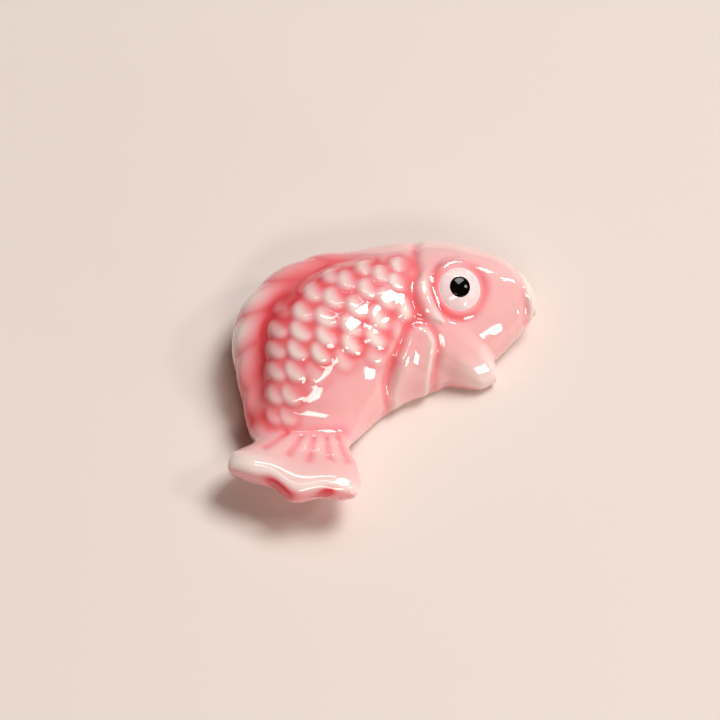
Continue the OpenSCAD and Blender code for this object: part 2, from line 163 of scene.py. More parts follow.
def along(table: Array | tuple, u: Array) -> Array:
    """Smooth curve through a table of equally spaced values.

    Args:
        table: values, or points, at 0, 1, 2 and so on.
        u: places along the table.

    Returns:
        The value or point at each place.
    """
    t = np.asarray(table, float)
    last = len(t) - 1
    v = np.clip(np.asarray(u, float), 0, last)
    i = np.minimum(np.floor(v).astype(int), last - 1)
    f = v - i
    if t.ndim > 1:
        f = f[..., None]
    a, b = t[np.maximum(i - 1, 0)], t[i]
    c, d = t[i + 1], t[np.minimum(i + 2, last)]
    return ((2 * f**3 - 3 * f**2 + 1) * b + (f**3 - 2 * f**2 + f) * (c - a) / 2
            + (3 * f**2 - 2 * f**3) * c + (f**3 - f**2) * (d - b) / 2)


def from_piece(q: Array, a: Array, b: Array) -> tuple[Array, Array]:
    """Distance of points from a straight piece.

    Args:
        q: points in plan.
        a: the piece's start.
        b: its end.

    Returns:
        The distance, and the share of the way along the piece.
    """
    d = b - a
    f = np.clip(((q - a) @ d) / (d @ d), 0, 1)
    return np.linalg.norm(q - a - f[..., None] * d, axis=-1), f


def from_course(q: Array, points: Array) -> tuple[Array, Array]:
    """Distance of points from a course of straight pieces.

    Args:
        q: points in plan.
        points: the course.

    Returns:
        The distance, and the share of the way along the course.
    """
    near = np.full(q.shape[:-1], np.inf)
    way = np.zeros(q.shape[:-1])
    count = len(points) - 1
    for i in range(count):
        d, f = from_piece(q, points[i], points[i + 1])
        closer = d < near
        near = np.where(closer, d, near)
        way = np.where(closer, (i + f) / count, way)
    return near, way


def rounded(points: Array, steps: int = 6) -> Array:
    """A course with its corners smoothed.

    Args:
        points: the course.
        steps: pieces in each span.

    Returns:
        The smooth course.
    """
    spans = len(points) - 1
    return along(points, np.linspace(0, spans, spans * steps + 1))


def blurred(values: Array, across_rows: float, across_columns: float) -> Array:
    """Values on a grid, blurred.

    Args:
        values: the grid.
        across_rows: blur radius in rows.
        across_columns: blur radius in columns.

    Returns:
        The blurred grid.
    """
    out = values
    for axis, radius in enumerate((across_rows, across_columns)):
        reach = int(3 * radius)
        weights = np.exp(-0.5 * (np.arange(-reach, reach + 1) / radius) ** 2)
        weights /= weights.sum()
        pads = [(0, 0), (0, 0)]
        pads[axis] = (reach, reach)
        padded = np.pad(out, pads, mode="edge")
        total = np.zeros_like(out)
        for k, weight in enumerate(weights):
            total += weight * np.take(padded, range(k, k + out.shape[axis]), axis=axis)
        out = total
    return out


def linear(code: str) -> tuple[float, float, float, float]:
    """Linear colour of an sRGB hex code.

    Args:
        code: such as "f5c0b8".

    Returns:
        Red, green, blue and alpha.
    """
    parts = [int(code[i:i + 2], 16) / 255 for i in (0, 2, 4)]
    red, green, blue = (p / 12.92 if p <= 0.04045 else ((p + 0.055) / 1.055) ** 2.4
                        for p in parts)
    return red, green, blue, 1.0


@dataclass
class KoiForm:
    """Sizes and formulas of the fish, in millimetres, as the CAD part has them.

    A place on the fish is a station, 0 at the tail's edge to 21 at the snout, and a share of
    the way from the belly's edge (0) to the back's edge (1). A span is the two stations where
    a change along the fish starts and ends, and a step is a change with its two stations.
    """

    length: float = 57.0
    width: float = 53.0
    body_h: float = 18.2
    saddle_h: float = 9.0
    chin_lift: float = 5.4
    chin_span: Pair = (15.5, 22.0)
    snout_round: float = 0.6
    snout_narrow: float = 0.6
    tail_lift: float = 6.8
    tail_span: Pair = (1.2, 4.8)
    tail_t: float = 5.2
    tail_round: float = 2.3
    tail_corner: float = 2.6
    tail_undercut: float = 1.1
    tail_bulge: float = 2.5
    bulge_at: Pair = (0.44, 0.26)  # shares in plan
    tail_wave: float = 0.35
    waves: float = 2.6
    waves_from: float = 0.07
    waves_at: Pair = (0.45, 0.25)
    tail_edge_span: Pair = (0.0, 2.0)
    pelvic_out: float = 3.5
    pelvic_drop: float = 0.8
    pelvic_spans: tuple = ((9.2, 10.6), (11.2, 12.1))
    drop_edge: Pair = (0.0, 0.2)  # shares across
    fin_edge: Pair = (0.0, 0.3)
    back_undercut: float = 4.8
    belly_undercut: float = 2.2
    deepest_cut: float = 0.42  # share of the width
    belly_cut_span: Pair = (1.0, 4.0)
    back_cut_span: Pair = (4.0, 8.0)
    back_cut_steps: tuple = ((-0.5, 11.0, 14.0),)
    thin_steps: tuple = ((-0.6, 17.0, 21.0),)
    glaze_line: float = 0.9
    foot_dip: float = 0.5
    foot_from: float = 4.0
    foot_to: float = 17.0
    foot_step: float = 0.8
    last: float = 21.0
    ridge_share: float = 0.35
    flank_round: float = 0.3
    flank_spans: tuple = ((3.6, 7.0), (18.0, 21.0))
    squareness: Pair = (2.2, 1.6)  # the body's, and how much more the tail has
    squareness_span: Pair = (0.5, 4.5)
    fin_way: Pair = (0.64, -0.77)  # directions in plan
    tail_way: Pair = (-0.21, -0.98)
    edge_height: float = 0.5
    belly_edge_steps: tuple = ((-0.3, 1.5, 7.0), (0.2, 11.0, 16.5))
    back_edge_steps: tuple = ((-0.09, 4.0, 6.5), (0.05, 8.0, 12.0))
    belly_edge: tuple = (
        (-0.081, -0.555), (-0.074, -0.525), (-0.088, -0.453), (-0.112, -0.366),
        (-0.074, -0.294), (-0.026, -0.230), (0.038, -0.171), (0.094, -0.138),
        (0.147, -0.114), (0.196, -0.091), (0.256, -0.060), (0.316, -0.026), (0.361, 0.008),
        (0.393, 0.038), (0.416, 0.062), (0.435, 0.085), (0.451, 0.102), (0.463, 0.115),
        (0.474, 0.128), (0.481, 0.136), (0.486, 0.143), (0.490, 0.148))
    back_edge: tuple = (
        (-0.500, -0.459), (-0.493, -0.428), (-0.470, -0.400), (-0.421, -0.351),
        (-0.439, -0.294), (-0.451, -0.238), (-0.463, -0.162), (-0.481, -0.079),
        (-0.495, 0.004), (-0.488, 0.094), (-0.445, 0.187), (-0.371, 0.268),
        (-0.272, 0.326), (-0.160, 0.357), (-0.053, 0.389), (0.053, 0.414), (0.154, 0.419),
        (0.253, 0.404), (0.348, 0.373), (0.430, 0.322), (0.480, 0.258), (0.490, 0.222))
    crown: tuple = (0, 0, 0, 0, 0.065, 0.33, 0.59, 0.78, 0.91, 0.98, 1,
                    1, 0.97, 0.91, 0.85, 0.78, 0.70, 0.59, 0.46, 0.30, 0.15, 0.02)
    tail_crown: tuple = (1, 0.93, 0.53, 0.04, 0)

    @property
    def ridge_run(self) -> float:
        """Fall of the flank's slope over the whole half section."""
        return math.hypot(1, self.ridge_share) - self.ridge_share

    def plan(self, shares: tuple) -> Array:
        """Plan points of a table of shares.

        Args:
            shares: pairs of shares of the length and the width.

        Returns:
            The points.
        """
        return np.asarray(shares, float) * np.array([self.length, self.width])

    def undercuts(self, k: Array) -> tuple[Array, Array]:
        """How far the walls are drawn in at some stations.

        Args:
            k: the stations.

        Returns:
            The distance on the belly's side, and on the back's side.
        """
        thin = stepped(1, self.thin_steps, k)
        belly = mix(self.tail_undercut, self.belly_undercut, ease(*self.belly_cut_span, k)) * thin
        to_back = ease(*self.back_cut_span, k) * stepped(1, self.back_cut_steps, k)
        return belly, mix(self.tail_undercut, self.back_undercut, to_back) * thin

    def station(self, u: Array) -> dict:
        """Sizes of the sections at some stations.

        Args:
            u: the stations.

        Returns:
            The edges in plan, heights, undercuts and how far the ends have closed.
        """
        u = np.asarray(u, float)
        k = np.clip(u, 0, self.last)
        tail = QUARTER_TURN * np.clip(-u, 0, 1)
        snout = QUARTER_TURN * np.clip(u - self.last, 0, 1)
        standing = (ease(self.foot_from, self.foot_from + self.foot_step, k)
                    * (1 - ease(self.foot_to - self.foot_step, self.foot_to, k)))
        under = (self.tail_lift * (1 - ease(*self.tail_span, k))
                 + self.chin_lift * ease(*self.chin_span, k) - self.foot_dip * standing)
        crown = (self.saddle_h + (self.body_h - self.saddle_h) * along(self.crown, k)
                 + (self.tail_lift + self.tail_t - self.saddle_h) * along(self.tail_crown, k))
        fin_starts, fin_stops = self.pelvic_spans
        flank_starts, flank_stops = self.flank_spans
        square, more = self.squareness
        return {
            "a": along(self.plan(self.belly_edge), k),
            "b": along(self.plan(self.back_edge), k),
            "za": mix(under, crown, stepped(self.edge_height, self.belly_edge_steps, k)),
            "zb": mix(under, crown, stepped(self.edge_height, self.back_edge_steps, k)),
            "crown": crown,
            "under": under,
            "square": square + more * (1 - ease(*self.squareness_span, k)),
            "cut": self.undercuts(k),
            "open": np.cos(tail) * np.cos(snout),
            "ends": (np.sin(tail), 1 - ease(*self.tail_edge_span, k), np.sin(snout)),
            "fin": ease(*fin_starts, k) * (1 - ease(*fin_stops, k)),
            "body": ease(*flank_starts, k) * (1 - ease(*flank_stops, k)),
        }

    def columns(self, u: Array) -> dict:
        """Sizes of stations as columns, ready to be spread across the fish.

        Args:
            u: the stations.

        Returns:
            The same as station(), each value with one more axis.
        """
        return {key: (tuple(v[:, None] for v in value) if isinstance(value, tuple)
                      else value[:, None])
                for key, value in self.station(u).items()}

    def end_wave(self, w: Array) -> Array:
        """How far the tail's edge stands out.

        Args:
            w: shares of the way across in plan.

        Returns:
            The distance.
        """
        middle, width = self.bulge_at
        waves_middle, waves_reach = self.waves_at
        return (self.tail_bulge * bell(w - middle, width)
                + self.tail_wave * np.cos(2 * np.pi * self.waves * (w - self.waves_from))
                * bell((w - waves_middle) ** 2, waves_reach))

    def arch(self, s: dict, w: Array) -> Array:
        """Height of the arched section.

        Args:
            s: the stations' sizes, as columns.
            w: shares of the way across in plan.

        Returns:
            The height, 0 at both edges and 1 at the crown.
        """
        x = np.abs(2 * w - 1)
        back = np.sqrt(np.maximum(0, 1 - x ** s["square"]))
        slope = 1 - (np.hypot(x, self.ridge_share) - self.ridge_share) / self.ridge_run
        flank = mix(slope, np.sqrt(np.maximum(0, 1 - x**4)), self.flank_round)
        return np.where(w < 0.5, mix(back, flank, s["body"]), back)

    def upper(self, s: dict, share: Array) -> Array:
        """Points of the upper surface.

        Args:
            s: the stations' sizes, as columns.
            share: shares of the way from belly to back.

        Returns:
            The points.
        """
        w = across_plan(share)
        near_belly = 1 - ease(*self.drop_edge, share)
        edge_z = mix(s["za"], s["zb"], w) - self.pelvic_drop * s["fin"] * near_belly
        across = np.linalg.norm(s["b"] - s["a"], axis=-1)
        tail_end, tail_edge, snout_end = s["ends"]
        drawn_in = 1 - (1 - s["open"]) * (2 * self.tail_corner / across * tail_end
                                          + self.snout_narrow * snout_end)
        plan = mix(s["a"], s["b"], (0.5 + (w - 0.5) * drawn_in)[..., None])
        fin = self.pelvic_out * s["fin"] * (1 - ease(*self.fin_edge, share))
        tail = self.tail_round * tail_end + self.end_wave(w) * tail_edge
        plan = (plan + fin[..., None] * unit(np.array(self.fin_way))
                + tail[..., None] * unit(np.array(self.tail_way)))
        x = plan[..., 0] + self.snout_round * snout_end
        z = edge_z + (s["crown"] - edge_z) * self.arch(s, w) * s["open"]
        return np.stack([x, plan[..., 1], z], -1)

    def wall(self, s: dict, side: int, down: Array) -> Array:
        """Points of the wall below an edge.

        Args:
            s: the stations' sizes, as columns.
            side: 1 on the back, 0 on the belly.
            down: shares of the way down.

        Returns:
            The points.
        """
        edge = self.upper(s, np.array([float(side)]))
        inward = (self.upper(s, np.array([1.0 - side])) - edge)[..., :2]
        cut = np.minimum(s["cut"][side], self.deepest_cut * np.linalg.norm(inward, axis=-1))
        drawn = cut * (1 - np.sqrt(np.maximum(0, 1 - down**2)))
        plan = edge[..., :2] + unit(inward) * drawn[..., None]
        z = edge[..., 2] - (edge[..., 2] - s["under"]) * down * s["open"]
        return np.concatenate([plan, z[..., None]], -1)

    def on_fish(self, u: float, share: float) -> Array:
        """One point of the upper surface.

        Args:
            u: its station.
            share: its share of the way across.

        Returns:
            The point.
        """
        return self.upper(self.columns(np.array([u])), np.array([share]))[0, 0]


@dataclass
class Skin:
    """The fish's upper surface, with the relief and shade that are laid on it in turn.

    Each grid has a row for every station and a column for every share of the way across. The
    height is in millimetres over the form, and the tone is the glaze's shade: 0 deep coral,
    0.5 pink and 1 palest.
    """

    form: KoiForm
    points: Array
    normals: Array
    u: Array
    share: Array
    height: Array
    tone: Array

    @property
    def plan(self) -> Array:
        """The points seen from above."""
        return self.points[..., :2]

    def between(self, starts: Pair, stops: Pair) -> Array:
        """A mask along the fish.

        Args:
            starts: stations of the step from 0 to 1.
            stops: stations of the step back to 0.

        Returns:
            The mask, as a column.
        """
        return ease(*starts, self.u) * (1 - ease(*stops, self.u))

    def before(self, span: Pair) -> Array:
        """A mask, as a column, that is 1 on the tail's side of a span and 0 beyond it."""
        return 1 - ease(*span, self.u)

    def from_shape(self, shares: tuple) -> tuple[Array, Array]:
        """Distance from a smooth course on the fish.

        Args:
            shares: the course, as shares of the length and the width.

        Returns:
            The distance in plan, and the share of the way along the course.
        """
        return from_course(self.plan, rounded(self.form.plan(shares)))


@dataclass
class Scales:
    """Six chains of overlapping scales, pale on their crests and coral in between.

    Spans within a scale are shares of its radius, along the way that it points or out from
    its middle.
    """

    rise: float = 0.42
    chain_shares: tuple = (0.69, 0.605, 0.52, 0.436, 0.347, 0.259)
    chain_drift: tuple = (0.012, 0.019, 0.027, 0.031, 0.039, 0.045)
    chain_rows: tuple = ((2, 7), (0, 7), (-1, 5), (-2, 4), (-1, 3), (0, 2))
    first_row_station: float = 11.29
    row_step: float = 1.014
    chain_step: float = 0.108
    straight_row: int = 3
    faint: dict = field(default_factory=lambda: {
        (0, 2): 0.4, (0, 4): 0.9, (0, 5): 0.8, (0, 6): 0.65, (0, 7): 0.45, (1, 5): 0.9,
        (1, 6): 0.75, (1, 7): 0.5, (2, 5): 0.4, (3, 4): 0.45, (4, 3): 0.4, (5, 1): 0.45,
        (5, 2): 0.4})
    lean: Pair = (0.62, 0.78)  # how far a scale points to the back, and to the tail
    radius: float = 0.64  # share of the spacing
    set_back: float = 0.33
    reach: Pair = (2.2, 0.22)  # stations and shares from a scale's place that it can touch
    slope: Pair = (-0.9, 0.7)
    edge: Pair = (0.5, 1.2)
    crest_slope: Pair = (-0.5, 0.25)
    crest_edge: Pair = (0.72, 0.98)
    crest_shape: Pair = (1.12, 0.95)  # squeeze along the scale, and across it
    skin_edge: Pair = (1.0, 1.9)
    softness: Pair = (1.0, 0.5)  # blur in rows and columns of the mesh
    crest_softness: Pair = (1.9, 1.0)  # the same
    bare_tone: float = 0.60
    hollow_tone: float = 0.20
    crest_tone: float = 0.72

    def place(self, chain: float, row: float) -> tuple[float, float]:
        """Station and share of a scale.

        Args:
            chain: its chain, from the back to the belly.
            row: its row, from the head to the tail.

        Returns:
            Station and share.
        """
        i = min(max(int(math.floor(chain)), 0), len(self.chain_shares) - 2)
        f = chain - i
        drift = mix(self.chain_drift[i], self.chain_drift[i + 1], f)
        share = mix(self.chain_shares[i], self.chain_shares[i + 1], f)
        share += max(0, self.straight_row - row) * drift
        return self.first_row_station - self.row_step * row - self.chain_step * chain, share

    def one(self, skin: Skin, chain: int, row: int) -> tuple:
        """One scale.

        Args:
            skin: the surface that it lies on.
            chain: its chain.
            row: its row.

        Returns:
            The cells that it touches, and its rise, pale crest and cover there, from 0 to 1.
        """
        on = skin.form.on_fish
        place = self.place(chain, row)
        to_back = on(*self.place(chain - 0.5, row)) - on(*self.place(chain + 0.5, row))
        to_tail = on(*self.place(chain, row + 0.5)) - on(*self.place(chain, row - 0.5))
        points = unit(unit(to_back) * self.lean[0] + unit(to_tail) * self.lean[1])
        side = unit(np.cross(np.cross(to_back, to_tail), points))
        r = self.radius * math.sqrt(np.linalg.norm(to_back) * np.linalg.norm(to_tail))
        middle = on(*place) - points * r * self.set_back
        strength = self.faint.get((chain, row), 1.0)
        cells = np.ix_(np.abs(skin.u[:, 0] - place[0]) < self.reach[0],
                       np.abs(skin.share - place[1]) < self.reach[1])
        q = skin.points[cells] - middle
        a = q @ points / r
        b = q @ side / r
        out = np.hypot(a, b)
        rise = ease(*self.slope, a) * (1 - ease(*self.edge, out)) * strength
        crest_out = np.hypot(self.crest_shape[0] * a, self.crest_shape[1] * b)
        crest = ease(*self.crest_slope, a) * strength * (1 - ease(*self.crest_edge, crest_out))
        return cells, (rise, crest, (1 - ease(*self.skin_edge, out)) * strength)

    def lay(self, skin: Skin) -> None:
        """Lays all the scales on the bare skin.

        Args:
            skin: the surface, which gets its first height and tone.
        """
        grids = np.zeros((3, *skin.height.shape))
        for chain, (first, last) in enumerate(self.chain_rows):
            for row in range(first, last + 1):
                cells, parts = self.one(skin, chain, row)
                for grid, part in zip(grids, parts):
                    grid[cells] = np.maximum(grid[cells], part)
        rise, crest, cover = grids
        rise = blurred(rise, *self.softness)
        crest = blurred(crest, *self.crest_softness)
        skin.height = self.rise * rise
        skin.tone = mix(self.bare_tone, self.hollow_tone, cover) + self.crest_tone * crest


@dataclass
class DorsalFin:
    """The lobed fin along the back, and the valley between it and the scales."""

    starts: Pair = (4.0, 6.5)
    stops: Pair = (12.2, 13.6)
    middle: float = 0.74
    shift: float = 0.05
    shift_span: Pair = (5.5, 9.0)
    lobe_pitch: float = 1.48
    lobe_from: float = 8.16
    lobe_slant: float = 4.0
    lobe_share: float = 0.87
    width: float = 0.065
    valley_d: float = 0.95
    ridge_h: float = 0.8
    ridge_out: float = 0.125
    least_ridge: float = 0.4
    notch_d: float = 0.35
    notch_from: Pair = (0.86, 0.95)
    upper_span: Pair = (9.5, 11.5)
    fan_span: Pair = (6.4, 8.0)
    streak_at: Pair = (0.14, 0.10)
    upper_fade: float = 0.55
    lobe_pale: float = 0.46
    gap_deep: float = 0.22
    valley_deep: float = 0.41
    valley_moves: Pair = (0.005, 0.03)  # to the belly, and to the back on the upper part
    valley_w: Pair = (0.075, 0.04)  # half width, and how much more on the upper part
    edge_pale: float = 0.26
    edge_from: Pair = (0.9, 1.0)
    # Pooled glaze and painted shade along the back's edge near the tail.
    saddle_pool_and_shade: float = 0.58
    saddle_at: Pair = (0.97, 0.09)
    saddle_spans: tuple = ((3.6, 4.2), (6.2, 7.6))
    fold_deep: float = 0.38
    fold_at: Pair = (4.3, 0.55)
    fold_from: Pair = (0.55, 0.8)

    def lay(self, skin: Skin) -> None:
        """Lays the fin on the skin.

        Args:
            skin: the surface.
        """
        on = skin.between(self.starts, self.stops)
        out = skin.share - (self.middle + self.shift * skin.before(self.shift_span))
        slant = self.lobe_slant * (skin.share - self.lobe_share)
        lobe = np.abs(np.cos(np.pi * (skin.u + slant - self.lobe_from) / self.lobe_pitch))
        valley = on * bell(out, self.width)
        ridge = (on * bell(out - self.ridge_out, self.width)
                 * (self.least_ridge + (1 - self.least_ridge) * lobe))
        notch = on * (1 - lobe) ** 2 * ease(*self.notch_from, skin.share)
        skin.height += self.ridge_h * ridge - self.valley_d * valley - self.notch_d * notch

        upper = ease(*self.upper_span, skin.u)
        fan = ease(*self.fan_span, skin.u)
        streak = (on * bell(out - self.streak_at[0], self.streak_at[1]) * fan
                  * (1 - self.upper_fade * upper))
        skin.tone += streak * (self.lobe_pale * lobe - self.gap_deep * (1 - lobe))
        skin.tone -= self.valley_deep * on * bell(
            out + self.valley_moves[0] - self.valley_moves[1] * upper,
            self.valley_w[0] + self.valley_w[1] * upper)
        skin.tone += self.edge_pale * on * lobe * ease(*self.edge_from, skin.share) * fan
        self.shade_saddle(skin)

    def shade_saddle(self, skin: Skin) -> None:
        """Darkens the back's edge where the fin runs out into the tail: partly glaze pooled
        there, partly painted shade where that edge is turned from the lamps.

        Args:
            skin: the surface.
        """
        share, (middle, width) = skin.share, self.saddle_at
        # Painted shade along the back's lower edge, over the glaze pooled there.
        skin.tone -= (self.saddle_pool_and_shade * bell(share - middle, width)
                      * skin.between(*self.saddle_spans))
        station, reach = self.fold_at
        skin.tone -= self.fold_deep * bell(skin.u - station, reach) * ease(*self.fold_from, share)


@dataclass
class GillPlate:
    """The groove behind the head and the raised plate that covers the gill."""

    front: tuple = ((5.0, 5.2), (16.8, 17.0))
    groove: tuple = (
        (0.107, 0.388), (0.098, 0.292), (0.107, 0.218), (0.096, 0.157), (0.096, 0.103),
        (0.104, 0.066), (0.092, 0.028), (0.076, -0.006), (0.056, -0.050), (0.037, -0.093),
        (0.023, -0.134), (0.014, -0.176))
    groove_d: float = 0.5
    groove_w: float = 1.05
    groove_runs_out: Pair = (0.93, 1.0)
    plate: tuple = ((0.128, 0.209), (0.124, 0.155), (0.134, 0.111), (0.154, 0.079),
                    (0.186, 0.055))
    plate_h: float = 0.45
    plate_half: float = 2.1
    plate_edge: Pair = (0.15, 1.1)
    narrowest: float = 0.12
    plate_start: float = 0.35
    plate_grows: Pair = (0.0, 0.5)
    plate_pale: float = 0.20
    line_tone: float = 0.24
    line_share: float = 0.75
    line_w: float = 1.0
    line_runs_out: Pair = (0.8, 1.0)

    def lay(self, skin: Skin) -> None:
        """Lays the groove and the plate on the skin.

        Args:
            skin: the surface.
        """
        head = skin.between(*self.front)
        groove, groove_way = skin.from_shape(self.groove)
        plate, way = skin.from_shape(self.plate)
        hollow = bell(groove, self.groove_w) * (1 - ease(*self.groove_runs_out, groove_way))
        line = bell(groove, self.line_w) * (1 - ease(*self.line_runs_out, groove_way))
        leaf = np.sqrt(np.clip(4 * way * (1 - way), self.narrowest, 1))
        cheek = 1 - ease(*self.plate_edge, plate / self.plate_half / leaf)
        cheek = cheek * mix(self.plate_start, 1.0, ease(*self.plate_grows, way))
        skin.height += head * (self.plate_h * cheek - self.groove_d * hollow)
        skin.tone = mix(skin.tone + self.plate_pale * head * cheek, self.line_tone,
                        self.line_share * head * line)


@dataclass
class PectoralFin:
    """The leaf-shaped fin on the flank, with a dished middle and a groove around it."""

    front: tuple = ((5.0, 5.2), (16.8, 17.0))
    ends: tuple = ((0.118, -0.023), (0.081, -0.155))
    half_widths: Pair = (2.7, 3.5)  # at its two ends
    rise: float = 0.6
    edge: Pair = (-0.32, 0.14)
    dish_d: float = 0.28
    dish: Pair = (-0.95, -0.15)
    groove_d: float = 0.35
    groove_at: Pair = (0.3, 0.26)
    leaf_pale: float = 0.08
    rim_pale: float = 0.16
    rim_at: Pair = (-0.15, 0.2)
    groove_tone: float = 0.30
    groove_share: float = 0.75
    groove_tone_at: Pair = (0.25, 0.20)

    def lay(self, skin: Skin) -> None:
        """Lays the fin on the skin.

        Args:
            skin: the surface.
        """
        head = skin.between(*self.front)
        distance, way = from_piece(skin.plan, *skin.form.plan(self.ends))
        half = mix(*self.half_widths, way)
        out = (distance - half) / half
        leaf = 1 - ease(*self.edge, out)
        groove, rim, line = (bell(out - at, width) for at, width in
                             (self.groove_at, self.rim_at, self.groove_tone_at))
        skin.height += head * (self.rise * leaf - self.dish_d * (1 - ease(*self.dish, out))
                               - self.groove_d * groove)
        skin.tone += head * (self.leaf_pale * leaf + self.rim_pale * rim * leaf)
        skin.tone = mix(skin.tone, self.groove_tone, self.groove_share * head * line)


@dataclass
class PelvicFin:
    """The small fin that stands out of the belly, and the soft dip beside it, which has painted
    light: it is made a little paler where the lamps leave it in shade.
    """

    course: tuple = ((0.192, -0.093), (0.227, -0.054), (0.260, -0.030), (0.311, 0.003))
    belly: tuple = ((8.0, 8.2), (12.8, 13.0))
    belly_share: float = 0.3
    dip_d: float = 0.2
    dip_w: float = 1.5
    dip_runs_out: Pair = (0.8, 1.0)
    swell_h: float = 0.3
    swell_at: Pair = (0.2, 0.1)
    fin_pale: float = 0.34
    fin_edge: Pair = (0.05, 0.25)
    # Painted light on the dip, and its half width.
    dip_painted_light: float = 0.03
    dip_painted_light_w: float = 2.0

    def lay(self, skin: Skin) -> None:
        """Lays the fin's swell and the dip on the skin.

        Args:
            skin: the surface.
        """
        fin = skin.form.columns(skin.u[:, 0])["fin"]
        hollow, way = skin.from_shape(self.course)
        belly = skin.between(*self.belly) * (skin.share < self.belly_share)
        dip = bell(hollow, self.dip_w) * (1 - ease(*self.dip_runs_out, way)) * belly
        swell = bell(skin.share - self.swell_at[0], self.swell_at[1])
        skin.height += self.swell_h * fin * swell - self.dip_d * dip
        skin.tone += self.fin_pale * fin * (1 - ease(*self.fin_edge, skin.share))
        # Painted light: the dip is lightened where the lamps leave it in shade.
        skin.tone += self.dip_painted_light * bell(hollow, self.dip_painted_light_w) * belly


@dataclass
class TailFan:
    """The tail: a fold at its root, five grooves, a pale rim and glaze pooled in its waves."""

    behind: Pair = (4.6, 5.0)
    root: tuple = ((-0.377, -0.321), (-0.325, -0.326), (-0.272, -0.328), (-0.193, -0.328),
                   (-0.128, -0.322))
    root_d: float = 0.18
    root_w: float = 0.85
    root_deep: float = 0.26
    root_deep_w: float = 1.5
    rays: tuple = (
        ((-0.314, -0.340), (-0.398, -0.423)), ((-0.267, -0.355), (-0.316, -0.462)),
        ((-0.226, -0.357), (-0.244, -0.489)), ((-0.184, -0.355), (-0.172, -0.485)),
        ((-0.147, -0.349), (-0.111, -0.485)))
    ray_d: float = 0.11
    ray_w: float = 0.78
    ray_widths: Pair = (0.75, 0.5)  # share of the width at the root, and how much is added
    ray_runs_out: Pair = (0.8, 1.0)
    ray_deep: float = 0.32
    pale: float = 0.12
    pale_to: Pair = (3.2, 4.4)
    rim_pale: float = 0.24
    rim_spans: tuple = ((-0.75, -0.2), (-0.5, 1.6))
    under_deep: float = 0.30
    under_span: Pair = (-0.7, -0.2)
    corner_pale: float = 0.16
    corner_from: Pair = (0.5, 0.9)
    corner_span: Pair = (1.0, 3.2)
    pools: tuple = ((1.1, 0.58, 0.11), (0.9, 0.2, 0.055))  # how deep, where and how wide
    pool_span: Pair = (-0.6, -0.12)

    def grooves(self, skin: Skin) -> Array:
        """Depth of the five grooves, from 0 to 1.

        Args:
            skin: the surface.

        Returns:
            The depth, as a grid.
        """
        depth = np.zeros(skin.height.shape)
        first, more = self.ray_widths
        for start, end in skin.form.plan(self.rays):
            distance, way = from_piece(skin.plan, start, end)
            groove = bell(distance, self.ray_w * (first + more * way))
            depth = np.maximum(depth, groove * (1 - ease(*self.ray_runs_out, way)))
        return depth * skin.before(self.behind)

    def lay(self, skin: Skin) -> None:
        """Lays the tail's relief and shades on the skin.

        Args:
            skin: the surface.
        """
        root = skin.from_shape(self.root)[0]
        rays = self.grooves(skin)
        fold = bell(root, self.root_w) * skin.before(self.behind)
        skin.height -= self.root_d * fold + self.ray_d * rays

        rim_starts, rim_stops = self.rim_spans
        rim = skin.before(rim_stops) * ease(*rim_starts, skin.u)
        w = across_plan(skin.share)
        pools = sum(deep * bell(w - at, width) for deep, at, width in self.pools)
        skin.tone -= self.under_deep * skin.before(self.under_span)
        skin.tone += (self.pale * skin.before(self.pale_to) + self.rim_pale * rim
                      - self.root_deep * bell(root, self.root_deep_w) - self.ray_deep * rays)
        skin.tone += (self.corner_pale * ease(*self.corner_from, w)
                      * skin.before(self.corner_span) - pools * skin.before(self.pool_span))


@dataclass
class Lips:
    """The groove behind the lips, and the paler glaze on the head and the snout."""

    course: tuple = ((0.432, 0.304), (0.439, 0.272), (0.454, 0.218), (0.461, 0.173),
                     (0.462, 0.114))
    starts: Pair = (15.0, 15.5)
    depth: float = 0.25
    width: float = 0.7
    deep: float = 0.16
    brow_pale: float = 0.20
    brow_from: Pair = (0.35, 0.85)
    brow_span: Pair = (13.2, 15.5)
    snout_pale: float = 0.48
    snout_span: Pair = (18.0, 20.0)
    head_pale: float = 0.07
    head_span: Pair = (10.5, 12.5)

    def lay(self, skin: Skin) -> None:
        """Lays the groove and the head's shades on the skin.

        Args:
            skin: the surface.
        """
        groove = bell(skin.from_shape(self.course)[0], self.width) * ease(*self.starts, skin.u)
        skin.height -= self.depth * groove
        skin.tone += (self.brow_pale * ease(*self.brow_from, skin.share)
                      * ease(*self.brow_span, skin.u)
                      + self.snout_pale * ease(*self.snout_span, skin.u))
        skin.tone += self.head_pale * ease(*self.head_span, skin.u)
        skin.tone -= self.deep * groove


